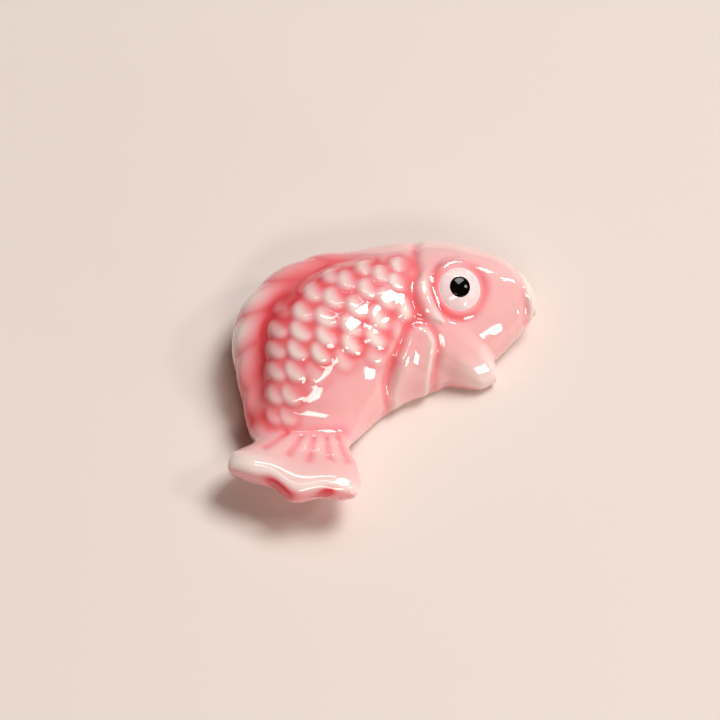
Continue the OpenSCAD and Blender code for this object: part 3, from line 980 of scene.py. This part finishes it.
@dataclass
class EyeSeat:
    """The flat round seat for the eye's enamel, in a socket with a coral ring."""

    form: KoiForm
    place: Pair = (13.74, 0.389)  # station and share across
    eye_d: float = 8.0
    depth: float = 0.5
    glaze_t: float = 0.4
    glazes_around: float = 2.2
    step: Pair = (0.1, 0.01)  # to its neighbours, which give the seat's tilt
    socket_d: float = 0.26
    socket_at: Pair = (0.475, 0.95)
    deepest_towards: float = 215.0
    shallowest: float = 0.35
    turn_span: Pair = (-0.6, 0.7)
    ring_deep: float = 0.26
    ring_w: float = 1.0
    seat_edge: Pair = (-0.4, 1.5)
    steepest: float = 0.2

    def __post_init__(self) -> None:
        """Finds the seat's place and axis on the form."""
        (u, share), (du, dshare) = self.place, self.step
        on = self.form.on_fish
        self.middle = on(u, share)
        axis = unit(np.cross(on(u + du, share) - on(u - du, share),
                             on(u, share + dshare) - on(u, share - dshare)))
        self.up = axis * np.sign(axis[2])
        self.bottom = self.middle - self.up * self.depth
        self.radius = self.eye_d / 2 + self.glazes_around * self.glaze_t

    def from_axis(self, p: Array) -> Array:
        """Distance of points from the eye's axis.

        Args:
            p: the points.

        Returns:
            The distances.
        """
        q = p - self.bottom
        return np.linalg.norm(q - (q @ self.up)[..., None] * self.up, axis=-1)

    def lay(self, skin: Skin) -> None:
        """Lays the socket, its coral ring and the seat on the skin.

        Args:
            skin: the surface.
        """
        out = self.from_axis(skin.points) - self.radius
        q = skin.points - self.middle
        turn = np.cos(np.arctan2(q[..., 1], q[..., 0]) - math.radians(self.deepest_towards))
        socket = (bell(out - self.socket_at[0], self.socket_at[1])
                  * (self.shallowest + (1 - self.shallowest) * ease(*self.turn_span, turn)))
        skin.height -= self.socket_d * socket
        skin.tone -= self.ring_deep * socket + self.ring_deep * bell(out, self.ring_w)
        down = ((self.bottom - skin.points) @ self.up) / np.maximum(skin.normals @ self.up,
                                                                   self.steepest)
        skin.height = mix(skin.height, down, 1 - ease(*self.seat_edge, out))


@dataclass
class Relief:
    """Everything that stands out of the form or is pressed into it, in the order it is laid."""

    form: KoiForm
    seat: EyeSeat
    parts: tuple = (Scales(), DorsalFin(), GillPlate(), PectoralFin(), PelvicFin(), TailFan(),
                    Lips())

    def build(self, points: Array, normals: Array, u: Array, share: Array) -> Skin:
        """Relief and shade of the whole upper surface.

        Args:
            points: points of the form.
            normals: outward normals.
            u: stations, as a column.
            share: shares across.

        Returns:
            The surface with its heights and tones.
        """
        blank = np.zeros(points.shape[:2])
        skin = Skin(self.form, points, normals, u, share, blank, blank)
        for part in (*self.parts, self.seat):
            part.lay(skin)
        skin.height *= np.sqrt(self.form.columns(u[:, 0])["open"])
        return skin


def new_mesh(name: str, points: Array, faces: list, scale: float = MM) -> bpy.types.Object:
    """A smooth mesh object.

    Args:
        name: its name.
        points: corner points.
        faces: lists of point numbers.
        scale: metres for one unit of the points.

    Returns:
        The object.
    """
    mesh = bpy.data.meshes.new(name)
    mesh.from_pydata((np.asarray(points) * scale).tolist(), [], faces)
    mesh.polygons.foreach_set("use_smooth", [True] * len(mesh.polygons))
    mesh.update()
    obj = bpy.data.objects.new(name, mesh)
    bpy.context.scene.collection.objects.link(obj)
    return obj


def add_node(tree: bpy.types.NodeTree, kind: str, settings: dict | None = None,
             links: dict | None = None) -> bpy.types.Node:
    """Adds a shader node with its settings and links.

    Args:
        tree: the material's tree.
        kind: the node's type.
        settings: names or numbers of inputs, or attributes, and their values.
        links: names or numbers of inputs, and the output that feeds each.

    Returns:
        The node.
    """
    node = tree.nodes.new(kind)
    for key, value in (settings or {}).items():
        if isinstance(key, int) or key in node.inputs:
            node.inputs[key].default_value = value
        else:
            setattr(node, key, value)
    for key, output in (links or {}).items():
        tree.links.new(output, node.inputs[key])
    return node


def new_finish(name: str, settings: dict) -> tuple:
    """Starts a material, with the numbers that are the same all over the surface.

    Args:
        name: its name.
        settings: inputs of its shader and their values.

    Returns:
        The material, its node tree and its shader.
    """
    mat = bpy.data.materials.new(name)
    mat.use_nodes = True
    shader = mat.node_tree.nodes["Principled BSDF"]
    for key, value in settings.items():
        shader.inputs[key].default_value = value
    return mat, mat.node_tree, shader


def colour_and_grain(tree: bpy.types.NodeTree, shader: bpy.types.Node,
                     shade: bpy.types.NodeSocket, colours: dict,
                     grain: bpy.types.NodeSocket, height_mm: float) -> None:
    """Gives a shader its varying colour and its fine relief.

    Args:
        tree: the material's tree.
        shader: its shader.
        shade: output that says, from 0 to 1, which colour shows.
        colours: hex colours by their places from 0 to 1.
        grain: output that raises and lowers the surface.
        height_mm: how far it does.
    """
    ramp = add_node(tree, "ShaderNodeValToRGB", None, {"Fac": shade})
    stops = ramp.color_ramp.elements
    for i, (at, code) in enumerate(colours.items()):
        stop = stops[i] if i < len(stops) else stops.new(at)
        stop.position = at
        stop.color = linear(code)
    bump = add_node(tree, "ShaderNodeBump", {"Strength": 1.0, "Distance": height_mm * MM},
                    {"Height": grain})
    tree.links.new(ramp.outputs["Color"], shader.inputs["Base Color"])
    tree.links.new(bump.outputs["Normal"], shader.inputs["Normal"])


@dataclass(frozen=True)
class PooledGlaze:
    """A pink gloss glaze, poured over pressed porcelain and fired.

    It flows while it is molten, so it runs thin and pale over the crests and pools in coral in
    the hollows. The eye gets soft clouds of colour under one sharp, wet reflection. Light goes
    a little way into it, which takes the hardness off the shadows.
    """

    deep: str = "f2505b"
    coral: str = "fb7c80"
    pink: str = "ffafb4"
    pale: str = "ffcfcb"
    crest: str = "ffece5"
    roughness: float = 0.12
    ior: float = 1.55  # fired glass
    shine: float = 0.15  # low, because the coat over it gives the reflection
    coat_roughness: float = 0.03
    coat_ior: float = 1.68  # above a glaze's usual 1.55, to match how bright it shines
    glow: float = 0.12
    glow_reach: tuple = (1.0, 0.45, 0.35)
    glow_mm: float = 1.2
    cloud_mm: float = 4.5
    cloud_swing: float = 0.12
    speck_mm: float = 0.5
    speck_swing: float = 0.04
    ripple_mm: float = 2.4
    ripple_height_mm: float = 0.008

    def material(self, name: str) -> bpy.types.Material:
        """Makes the material.

        Args:
            name: its name.

        Returns:
            The material.
        """
        mat, tree, shader = new_finish(name, {
            "Roughness": self.roughness, "IOR": self.ior, "Specular IOR Level": self.shine,
            "Coat Weight": 1.0, "Coat Roughness": self.coat_roughness,
            "Coat IOR": self.coat_ior, "Subsurface Weight": self.glow,
            "Subsurface Radius": self.glow_reach, "Subsurface Scale": self.glow_mm * MM})
        place = add_node(tree, "ShaderNodeTexCoord").outputs["Object"]
        tone = add_node(tree, "ShaderNodeAttribute", {"attribute_name": "glaze_shade"})
        # Clouds where the poured coat lies a little thicker or thinner, some 4.5 mm across.
        clouds = add_node(tree, "ShaderNodeTexNoise", {
            "Scale": 1 / (self.cloud_mm * MM), "Detail": 3.0, "Roughness": 0.55},
            {"Vector": place})
        # Bubbles in a glaze are near 0.05 mm. Drawn at 0.5 mm, the least that shows.
        specks = add_node(tree, "ShaderNodeTexNoise", {
            "Scale": 1 / (self.speck_mm * MM), "Detail": 2.0}, {"Vector": place})
        swings = [add_node(tree, "ShaderNodeMath",
                           {"operation": "MULTIPLY_ADD", 1: swing, 2: -swing / 2},
                           {0: noise.outputs["Fac"]})
                  for noise, swing in ((clouds, self.cloud_swing), (specks, self.speck_swing))]
        both = add_node(tree, "ShaderNodeMath", {"operation": "ADD"},
                        {0: swings[0].outputs[0], 1: swings[1].outputs[0]})
        shade = add_node(tree, "ShaderNodeMath", {"operation": "ADD"},
                         {0: tone.outputs["Fac"], 1: both.outputs[0]})
        # A flowed glaze keeps a very low ripple, a few millimetres from crest to crest.
        ripple = add_node(tree, "ShaderNodeTexNoise", {
            "Scale": 1 / (self.ripple_mm * MM), "Detail": 1.0}, {"Vector": place})
        colours = {0.0: self.deep, 0.2: self.coral, 0.5: self.pink, 0.78: self.pale,
                   1.0: self.crest}
        colour_and_grain(tree, shader, shade.outputs[0], colours, ripple.outputs["Fac"],
                         self.ripple_height_mm)
        return mat


@dataclass(frozen=True)
class GrainedCeramic:
    """A one-colour ceramic surface with a fine grain in its colour and its height."""

    colour: str
    shade: str
    roughness: float
    grain_mm: float
    grain_height_mm: float
    ior: float = 1.5
    shine: float = 0.5
    spread: Pair = (0.3, 0.6)  # grain values that show the shade and the colour

    def material(self, name: str) -> bpy.types.Material:
        """Makes the material.

        Args:
            name: its name.

        Returns:
            The material.
        """
        mat, tree, shader = new_finish(name, {
            "Roughness": self.roughness, "IOR": self.ior, "Specular IOR Level": self.shine})
        place = add_node(tree, "ShaderNodeTexCoord").outputs["Object"]
        grain = add_node(tree, "ShaderNodeTexNoise", {
            "Scale": 1 / (self.grain_mm * MM), "Detail": 4.0}, {"Vector": place})
        colours = dict(zip(self.spread, (self.shade, self.colour)))
        colour_and_grain(tree, shader, grain.outputs["Fac"], colours, grain.outputs["Fac"],
                         self.grain_height_mm)
        return mat


# White enamel, brushed on over the glaze and fired: a smooth low dome that is faintly pink
# from the glaze under it, with small sharp reflections. The grain is the brush's drift.
WHITE_ENAMEL = GrainedCeramic(colour="ffeaea", shade="fde0e1", roughness=0.05, grain_mm=1.6,
                              grain_height_mm=0.004)
# Black enamel, dotted on and fired: a deep, almost level black with a weak clear reflection.
BLACK_ENAMEL = GrainedCeramic(colour="060505", shade="0d0a0a", roughness=0.03, grain_mm=0.8,
                              grain_height_mm=0.001, shine=0.2)
# Unglazed porcelain, pressed and fired, wiped clean at the foot: matt, off-white and dry to
# the eye. Its real grain is under 0.05 mm and is drawn at 0.35 mm, so that it shows.
BISCUIT = GrainedCeramic(colour="efe9e0", shade="e2dacf", roughness=0.85, grain_mm=0.35,
                         grain_height_mm=0.02)


@dataclass(frozen=True)
class MattBoard:
    """A pale board, sprayed matt: even in colour, with no reflection that draws the eye."""

    colour: str = "ebe2da"
    roughness: float = 0.75
    shine: float = 0.2

    def material(self, name: str) -> bpy.types.Material:
        """Makes the material.

        Args:
            name: its name.

        Returns:
            The material.
        """
        return new_finish(name, {
            "Roughness": self.roughness, "Base Color": linear(self.colour),
            "Specular IOR Level": self.shine})[0]


@dataclass
class PorcelainBody:
    """The pressed porcelain body, which shows only at its foot."""

    finish: GrainedCeramic = BISCUIT

    def dress(self) -> bpy.types.Object:
        """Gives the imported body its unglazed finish.

        Returns:
            The body.
        """
        body = frame["nodes"]["porcelain_body"]
        body.data.materials.clear()
        body.data.materials.append(self.finish.material("unglazed_biscuit"))
        return body


@dataclass
class GlazeCoat:
    """The pink glaze over everything but the foot."""

    form: KoiForm
    relief: Relief
    finish: PooledGlaze = PooledGlaze()
    # Runs of the mesh's rows: the first and last station, and how many rows.
    rows: tuple = ((-0.999, 0, 20), (0, 4, 64), (4, 13, 190), (13, 21, 118))
    snout_rows: tuple = (21, 21.99, 12)
    top_columns: int = 190
    gathered: float = 0.35  # how far the columns draw together at the edges
    wall_rows: int = 16
    wall_rounding: float = 0.9
    lowest_line: float = 0.93
    below_line: tuple = (0.15, 0.6, 1.0)
    under_columns: int = 30
    pulled_in: float = 0.55
    clearance: float = 0.15
    wall_fade: float = 0.6
    wall_tone: float = 0.42
    under_tone: float = 0.5
    # The back's wall is darker about one station: thick glaze, and painted shade where the wall
    # is turned from the lamps.
    back_pool_and_shade: float = 0.34
    back_pool_and_shade_at: Pair = (5.2, 1.8)
    pool_blur: Pair = (6.6, 5.1)  # in rows and columns of the mesh
    pool_tone: float = 0.12
    pool_depth: float = 0.35

    def stations(self) -> Array:
        """The stations of the fine mesh, from the tail's edge to the snout."""
        parts = [np.linspace(*part, endpoint=False) for part in self.rows]
        return np.concatenate([*parts, np.linspace(*self.snout_rows)])

    def shares(self) -> Array:
        """The shares across of the fine mesh's columns, from the belly to the back."""
        even = np.linspace(0, 1, self.top_columns)
        round_it = 0.5 - 0.5 * np.cos(np.linspace(0, np.pi, self.top_columns))
        return mix(even, round_it, self.gathered)

    def walls(self, s: dict, top: Array) -> list:
        """Points of both walls.

        Args:
            s: the stations' sizes, as columns.
            top: points of the upper surface.

        Returns:
            The back's wall and the belly's, each from its edge down to the foot.
        """
        steps = np.sin(QUARTER_TURN * np.linspace(0, 1, self.wall_rows + 1)[1:])
        walls = []
        for side in (1, 0):
            z = top[:, -1 if side else 0, 2][:, None]
            line = np.minimum(self.lowest_line, (z - self.form.glaze_line) / (z - s["under"]))
            glazed = self.form.wall(s, side, line * steps[None, :] ** self.wall_rounding)
            below = self.form.wall(s, side, mix(line, 1.0, np.array([self.below_line])))
            walls.append(np.concatenate([glazed, below], 1))
        return walls

    def rings(self, u: Array, share: Array) -> Array:
        """All points of the smooth form.

        Args:
            u: stations.
            share: shares across the upper surface.

        Returns:
            One ring of points for each station.
        """
        s = self.form.columns(u)
        top = self.form.upper(s, share[None, :])
        back, belly = self.walls(s, top)
        across = np.linalg.norm(s["b"] - s["a"], axis=-1)
        low, high = (np.minimum(self.form.deepest_cut, cut / across) for cut in s["cut"])
        steps = np.linspace(1, 0, self.under_columns + 2)[1:-1][None, :]
        under_share = np.arccos(1 - 2 * mix(low, 1 - high, steps)) / np.pi
        under = self.form.upper(s, under_share)
        under[..., 2] = mix(belly[:, -1, 2][:, None], back[:, -1, 2][:, None], under_share)
        return np.concatenate([top, back, under, belly[:, ::-1]], 1)

    def normals(self, ring: Array) -> Array:
        """Outward normals of the smooth form.

        Args:
            ring: its points.

        Returns:
            A normal for each point.
        """
        wrapped = np.concatenate([ring[:, -1:], ring, ring[:, :1]], 1)
        n = unit(np.cross(np.gradient(ring, axis=0), wrapped[:, 2:] - wrapped[:, :-2]))
        return -n if n[len(ring) // 2, self.top_columns // 2, 2] < 0 else n

    def relieved(self, ring: Array, n: Array, u: Array, share: Array) -> tuple[Array, Array]:
        """Heights and tones of the whole coat.

        Args:
            ring: points of the smooth form.
            n: their outward normals.
            u: stations.
            share: shares across the upper surface.

        Returns:
            Height over the form, and tone, which also says where the glaze pools.
        """
        tops, (rows, count) = self.top_columns, ring.shape[:2]
        height = np.zeros((rows, count))
        tone = np.full((rows, count), self.under_tone)
        skin = self.relief.build(ring[:, :tops], n[:, :tops], u[:, None], share)
        height[:, :tops], tone[:, :tops] = skin.height, skin.tone
        # Painted shade on the back's wall near the tail, over the glaze pooled there.
        back_tone = self.wall_tone - self.back_pool_and_shade * bell(u - self.back_pool_and_shade_at[0],
                                                           self.back_pool_and_shade_at[1])
        for k in range(self.wall_rows + len(self.below_line)):
            fade = 1 - ease(0, self.wall_rows * self.wall_fade, float(k))
            for column, edge, wall_tone in ((tops + k, tops - 1, back_tone),
                                            (count - 1 - k, 0, self.wall_tone)):
                height[:, column] = height[:, edge] * fade
                tone[:, column] = mix(tone[:, edge], wall_tone, 1 - fade)
        pool = height - blurred(height, *self.pool_blur)
        return height, tone + self.pool_tone * np.clip(pool / self.pool_depth, -1.0, 1.0)

    def foot_window(self, u: Array, count: int) -> Array:
        """Where the glaze is wiped off.

        Args:
            u: stations.
            count: points in a ring.

        Returns:
            A grid that is true at the points of the foot.
        """
        window = np.zeros((len(u), count), bool)
        inside = (u > self.form.foot_from) & (u < self.form.foot_to)
        line = self.wall_rows
        window[np.ix_(inside, range(self.top_columns + line, count - line))] = True
        return window

    def faces(self, foot: Array) -> list:
        """Faces of the coat.

        Args:
            foot: where the glaze is wiped off.

        Returns:
            Lists of point numbers, none of them wholly in the foot.
        """
        rows, count = foot.shape
        i, j = np.meshgrid(np.arange(rows - 1), np.arange(count), indexing="ij")
        k = (j + 1) % count
        shown = ~(foot[i, j] & foot[i + 1, j] & foot[i, k] & foot[i + 1, k])
        cells = np.stack([i * count + j, i * count + k, (i + 1) * count + k,
                          (i + 1) * count + j], -1)
        return (cells[shown].tolist() + self.end(0, count, True)
                + self.end((rows - 1) * count, count, False))

    def end(self, first: int, count: int, turned: bool) -> list:
        """Faces that close one end of the fish.

        Args:
            first: number of the end ring's first point.
            count: points in the ring.
            turned: whether the faces turn the other way.

        Returns:
            The triangles.
        """
        top = self.top_columns - 1
        low = count - top
        faces = []
        for k in range(1, top - 1):
            m = int((k + 0.5) * (low + 1) / top)
            faces.append([first + (count - m) % count, first + k, first + k + 1])
        for m in range(low):
            t = math.ceil((m + 1) * top / (low + 1) - 0.5)
            faces.append([first + (count - m) % count, first + t,
                          first + (count - m - 1) % count])
        return [f[::-1] for f in faces] if turned else faces

    def fitted(self, points: Array) -> Array:
        """Points eased into the box of the CAD coat.

        Args:
            points: the points, in millimetres.

        Returns:
            The same, stretched to the box in plan and none of them above it.
        """
        low, high = (np.array(corner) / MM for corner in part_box("pink_glaze"))
        have_low, have_high = points.min(0), points.max(0)
        log.info("glaze coat from %s to %s, in a box from %s to %s", have_low.round(2),
                 have_high.round(2), low.round(2), high.round(2))
        out = points.copy()
        for axis in (0, 1):
            f = (points[:, axis] - have_low[axis]) / (have_high[axis] - have_low[axis])
            out[:, axis] = mix(low[axis], high[axis], f)
        out[:, 2] = points[:, 2] * min(1.0, high[2] / have_high[2])
        return out

    def build(self, name: str, shift: Array) -> bpy.types.Object:
        """Builds the coat.

        Args:
            name: its name.
            shift: from the form's own origin to the part's.

        Returns:
            The dressed object.
        """
        u, share = self.stations(), self.shares()
        ring = self.rings(u, share)
        n = self.normals(ring)
        height, tone = self.relieved(ring, n, u, share)
        foot = self.foot_window(u, ring.shape[1])
        points = ring + n * (height - self.pulled_in * foot)[..., None] + shift
        points[..., 2] = np.maximum(points[..., 2], self.clearance)
        coat = new_mesh(name, self.fitted(points.reshape(-1, 3)), self.faces(foot))
        shade = coat.data.attributes.new("glaze_shade", "FLOAT", "POINT")
        shade.data.foreach_set("value", np.clip(tone, 0, 1).ravel().astype(np.float32))
        coat.data.materials.append(self.finish.material("pooled_pink_glaze"))
        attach(coat, "root")
        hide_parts("pink_glaze")
        return coat


@dataclass(frozen=True)
class EnamelCap:
    """A round cap of enamel on the eye's seat, with an edge that has flowed down."""

    seat: EyeSeat
    rise: float
    ball_r: float
    middle: Pair  # place across the eye's axis
    radius: float
    lift: float
    skirt: float
    edge: float = 0.35
    rings: int = 40
    spokes: int = 96

    def height(self, x: float, y: float, sink: float) -> float:
        """Height over the seat.

        Args:
            x: place across the eye's axis.
            y: the same, the other way.
            sink: how far the edge has flowed down there.

        Returns:
            The height.
        """
        ball = math.sqrt(max(self.ball_r**2 - x * x - y * y, 0))
        return max(self.rise - self.ball_r + ball + self.lift - sink, 0.0)

    def points(self, shift: Array) -> list:
        """Points of the cap: its middle, then ring after ring.

        Args:
            shift: from the form's own origin to the part's.

        Returns:
            The points.
        """
        up = self.seat.up
        e1 = unit(np.array([1.0, 0.0, 0.0]) - up[0] * up)
        e2 = np.cross(up, e1)
        places = [(0.0, 0.0, 0.0)]
        for r in self.radius * np.sin(QUARTER_TURN * np.linspace(0, 1, self.rings + 1)[1:]):
            f = max(0.0, (r - (self.radius - self.edge)) / self.edge)
            sink = (self.lift + self.skirt) * (1 - math.sqrt(max(0.0, 1 - f * f)))
            places += [(r, 2 * math.pi * k / self.spokes, sink) for k in range(self.spokes)]
        points = []
        for r, angle, sink in places:
            x = self.middle[0] + r * math.cos(angle)
            y = self.middle[1] + r * math.sin(angle)
            points.append(self.seat.bottom + shift + e1 * x + e2 * y
                          + up * self.height(x, y, sink))
        return points

    def faces(self) -> list:
        """Faces of the cap.

        Returns:
            Triangles around the middle, then rings of four-sided faces.
        """
        count = self.spokes
        faces = [[0, 1 + k, 1 + (k + 1) % count] for k in range(count)]
        for first in range(1, 1 + (self.rings - 1) * count, count):
            faces += [[first + k, first + count + k, first + count + (k + 1) % count,
                       first + (k + 1) % count] for k in range(count)]
        return faces


@dataclass
class Eye:
    """The white enamel dome and the black pupil on it."""

    seat: EyeSeat
    rise: float = 1.3
    white_skirt: float = 0.12
    pupil_d: float = 3.9
    pupil_t: float = 0.2
    pupil_skirt: float = 0.02
    pupil_shift: float = 0.45
    pupil_way: Pair = (-0.7071, 0.7071)  # direction across the eye's axis
    white: GrainedCeramic = WHITE_ENAMEL
    black: GrainedCeramic = BLACK_ENAMEL

    def build(self, shift: Array) -> list:
        """Builds both pieces.

        Args:
            shift: from the form's own origin to the part's.

        Returns:
            The white and the pupil.
        """
        r = self.seat.eye_d / 2
        ball_r = (r * r + self.rise**2) / (2 * self.rise)
        dome = EnamelCap(self.seat, self.rise, ball_r, (0.0, 0.0), r, 0.0, self.white_skirt)
        away = tuple(self.pupil_shift * way for way in self.pupil_way)
        dot = EnamelCap(self.seat, self.rise, ball_r, away, self.pupil_d / 2, self.pupil_t,
                        self.pupil_skirt)
        pieces = []
        for name, cap, finish, node, slot in (
                ("white_of_the_eye", dome, self.white, "eye_white", Slot.WHITE),
                ("black_pupil", dot, self.black, "pupil", Slot.BLACK)):
            piece = new_mesh(name, cap.points(shift), cap.faces())
            piece.data.materials.append(finish.material(name + "_enamel"))
            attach(piece, "root")
            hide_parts(node)
            pieces.append(piece)
        return pieces


@dataclass(frozen=True)
class Softbox:
    """One studio lamp, aimed at the fish."""

    name: str
    azimuth: float
    elevation: float
    distance_m: float
    width_m: float
    height_m: float
    watts: float
    colour: str
    roll: float

    def build(self, target: Vector) -> bpy.types.Object:
        """Adds the lamp.

        Args:
            target: the point it is aimed at.

        Returns:
            The lamp.
        """
        data = bpy.data.lights.new(self.name, "AREA")
        data.shape = "RECTANGLE"
        data.size, data.size_y = self.width_m, self.height_m
        data.energy = self.watts
        data.color = linear(self.colour)[:3]
        lamp = bpy.data.objects.new(self.name, data)
        bpy.context.scene.collection.objects.link(lamp)
        a, e = math.radians(self.azimuth), math.radians(self.elevation)
        away = Vector((math.sin(a) * math.cos(e), -math.cos(a) * math.cos(e), math.sin(e)))
        lamp.location = target + away * self.distance_m
        lamp.rotation_euler = away.to_track_quat("Z", "Y").to_euler()
        lamp.rotation_euler.rotate_axis("Z", math.radians(self.roll))
        return lamp


@dataclass
class Studio:
    """Table top, lamps and camera."""

    table_finish: MattBoard = MattBoard()
    table_half_mm: float = 1500.0
    room_colour: str = "ffab84"
    room_level: float = 0.06
    lamps: tuple = (
        Softbox(name="overhead", azimuth=124, elevation=62, distance_m=2.0, width_m=0.80,
                height_m=0.84, watts=31.0, colour="fffdfd", roll=15),
        Softbox(name="right_window", azimuth=88, elevation=43, distance_m=2.0, width_m=0.26,
                height_m=0.28, watts=5.1, colour="fff4ee", roll=12),
        Softbox(name="right_card", azimuth=46, elevation=9, distance_m=1.0, width_m=0.18,
                height_m=0.18, watts=0.95, colour="ffffff", roll=-15),
        Softbox(name="front_window", azimuth=12, elevation=46, distance_m=0.8, width_m=0.34,
                height_m=0.15, watts=1.4, colour="fff1e8", roll=20),
        Softbox(name="back_strip", azimuth=178, elevation=58, distance_m=1.0, width_m=0.42,
                height_m=0.05, watts=0.45, colour="ffffff", roll=0),
    )
    lamps_aim_m: tuple = (0.0, 0.0, 0.01)
    camera_elevation: float = 62.0
    focal_mm: float = 240.0
    sensor_mm: float = 36.0
    frame_px: int = 720
    px_per_mm: float = 5.35
    middle_mm: tuple = (-4.39, 6.89, 0.0)
    sees_to_m: float = 20.0

    def table(self) -> bpy.types.Object:
        """Adds the table top.

        Returns:
            The plane.
        """
        r = self.table_half_mm
        top = new_mesh("table_top", [(-r, -r, 0), (r, -r, 0), (r, r, 0), (-r, r, 0)],
                       [[0, 1, 2, 3]])
        top.data.materials.append(self.table_finish.material("pale_table_top"))
        return top

    def room(self) -> None:
        """Sets the even, warm light of the room."""
        world = bpy.data.worlds.new("room")
        bpy.context.scene.world = world
        world.use_nodes = True
        back = world.node_tree.nodes["Background"]
        back.inputs["Color"].default_value = linear(self.room_colour)
        back.inputs["Strength"].default_value = self.room_level

    def camera(self) -> bpy.types.Object:
        """Adds the camera.

        Returns:
            The camera.
        """
        data = bpy.data.cameras.new("camera")
        data.lens = self.focal_mm
        data.sensor_width = self.sensor_mm
        data.clip_end = self.sees_to_m
        cam = bpy.data.objects.new("camera", data)
        bpy.context.scene.collection.objects.link(cam)
        bpy.context.scene.camera = cam
        frame_mm = self.frame_px / self.px_per_mm
        distance = frame_mm * self.focal_mm / self.sensor_mm * MM
        e = math.radians(self.camera_elevation)
        target = Vector(self.middle_mm) * MM
        cam.location = target + Vector((0, -math.cos(e), math.sin(e))) * distance
        cam.rotation_euler = (math.radians(90 - self.camera_elevation), 0, 0)
        return cam

    def build(self) -> None:
        """Adds everything around the object."""
        self.table()
        self.room()
        for lamp in self.lamps:
            lamp.build(Vector(self.lamps_aim_m))
        self.camera()
        bpy.context.scene.view_settings.view_transform = "Standard"


def main() -> None:
    """Builds the rest and its studio."""
    logging.basicConfig(level=logging.INFO, format="%(message)s")
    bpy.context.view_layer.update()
    form = KoiForm()
    seat = EyeSeat(form)
    low, high = (np.array(corner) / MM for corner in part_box("eye_white"))
    shift = ((low + high) / 2 - seat.bottom) * np.array([1.0, 1.0, 0.0])
    log.info("the form stands %s mm from the part's middle", shift.round(3))
    coat = GlazeCoat(form, Relief(form, seat)).build("pooled_glaze_coat", shift)
    log.info("glaze coat: %d points", len(coat.data.vertices))
    for piece in Eye(seat).build(shift):
        log.info("eye piece: %s", piece.name)
    log.info("dressed body: %s", PorcelainBody().dress().name)
    Studio().build()


if __name__ == "__main__":
    main()
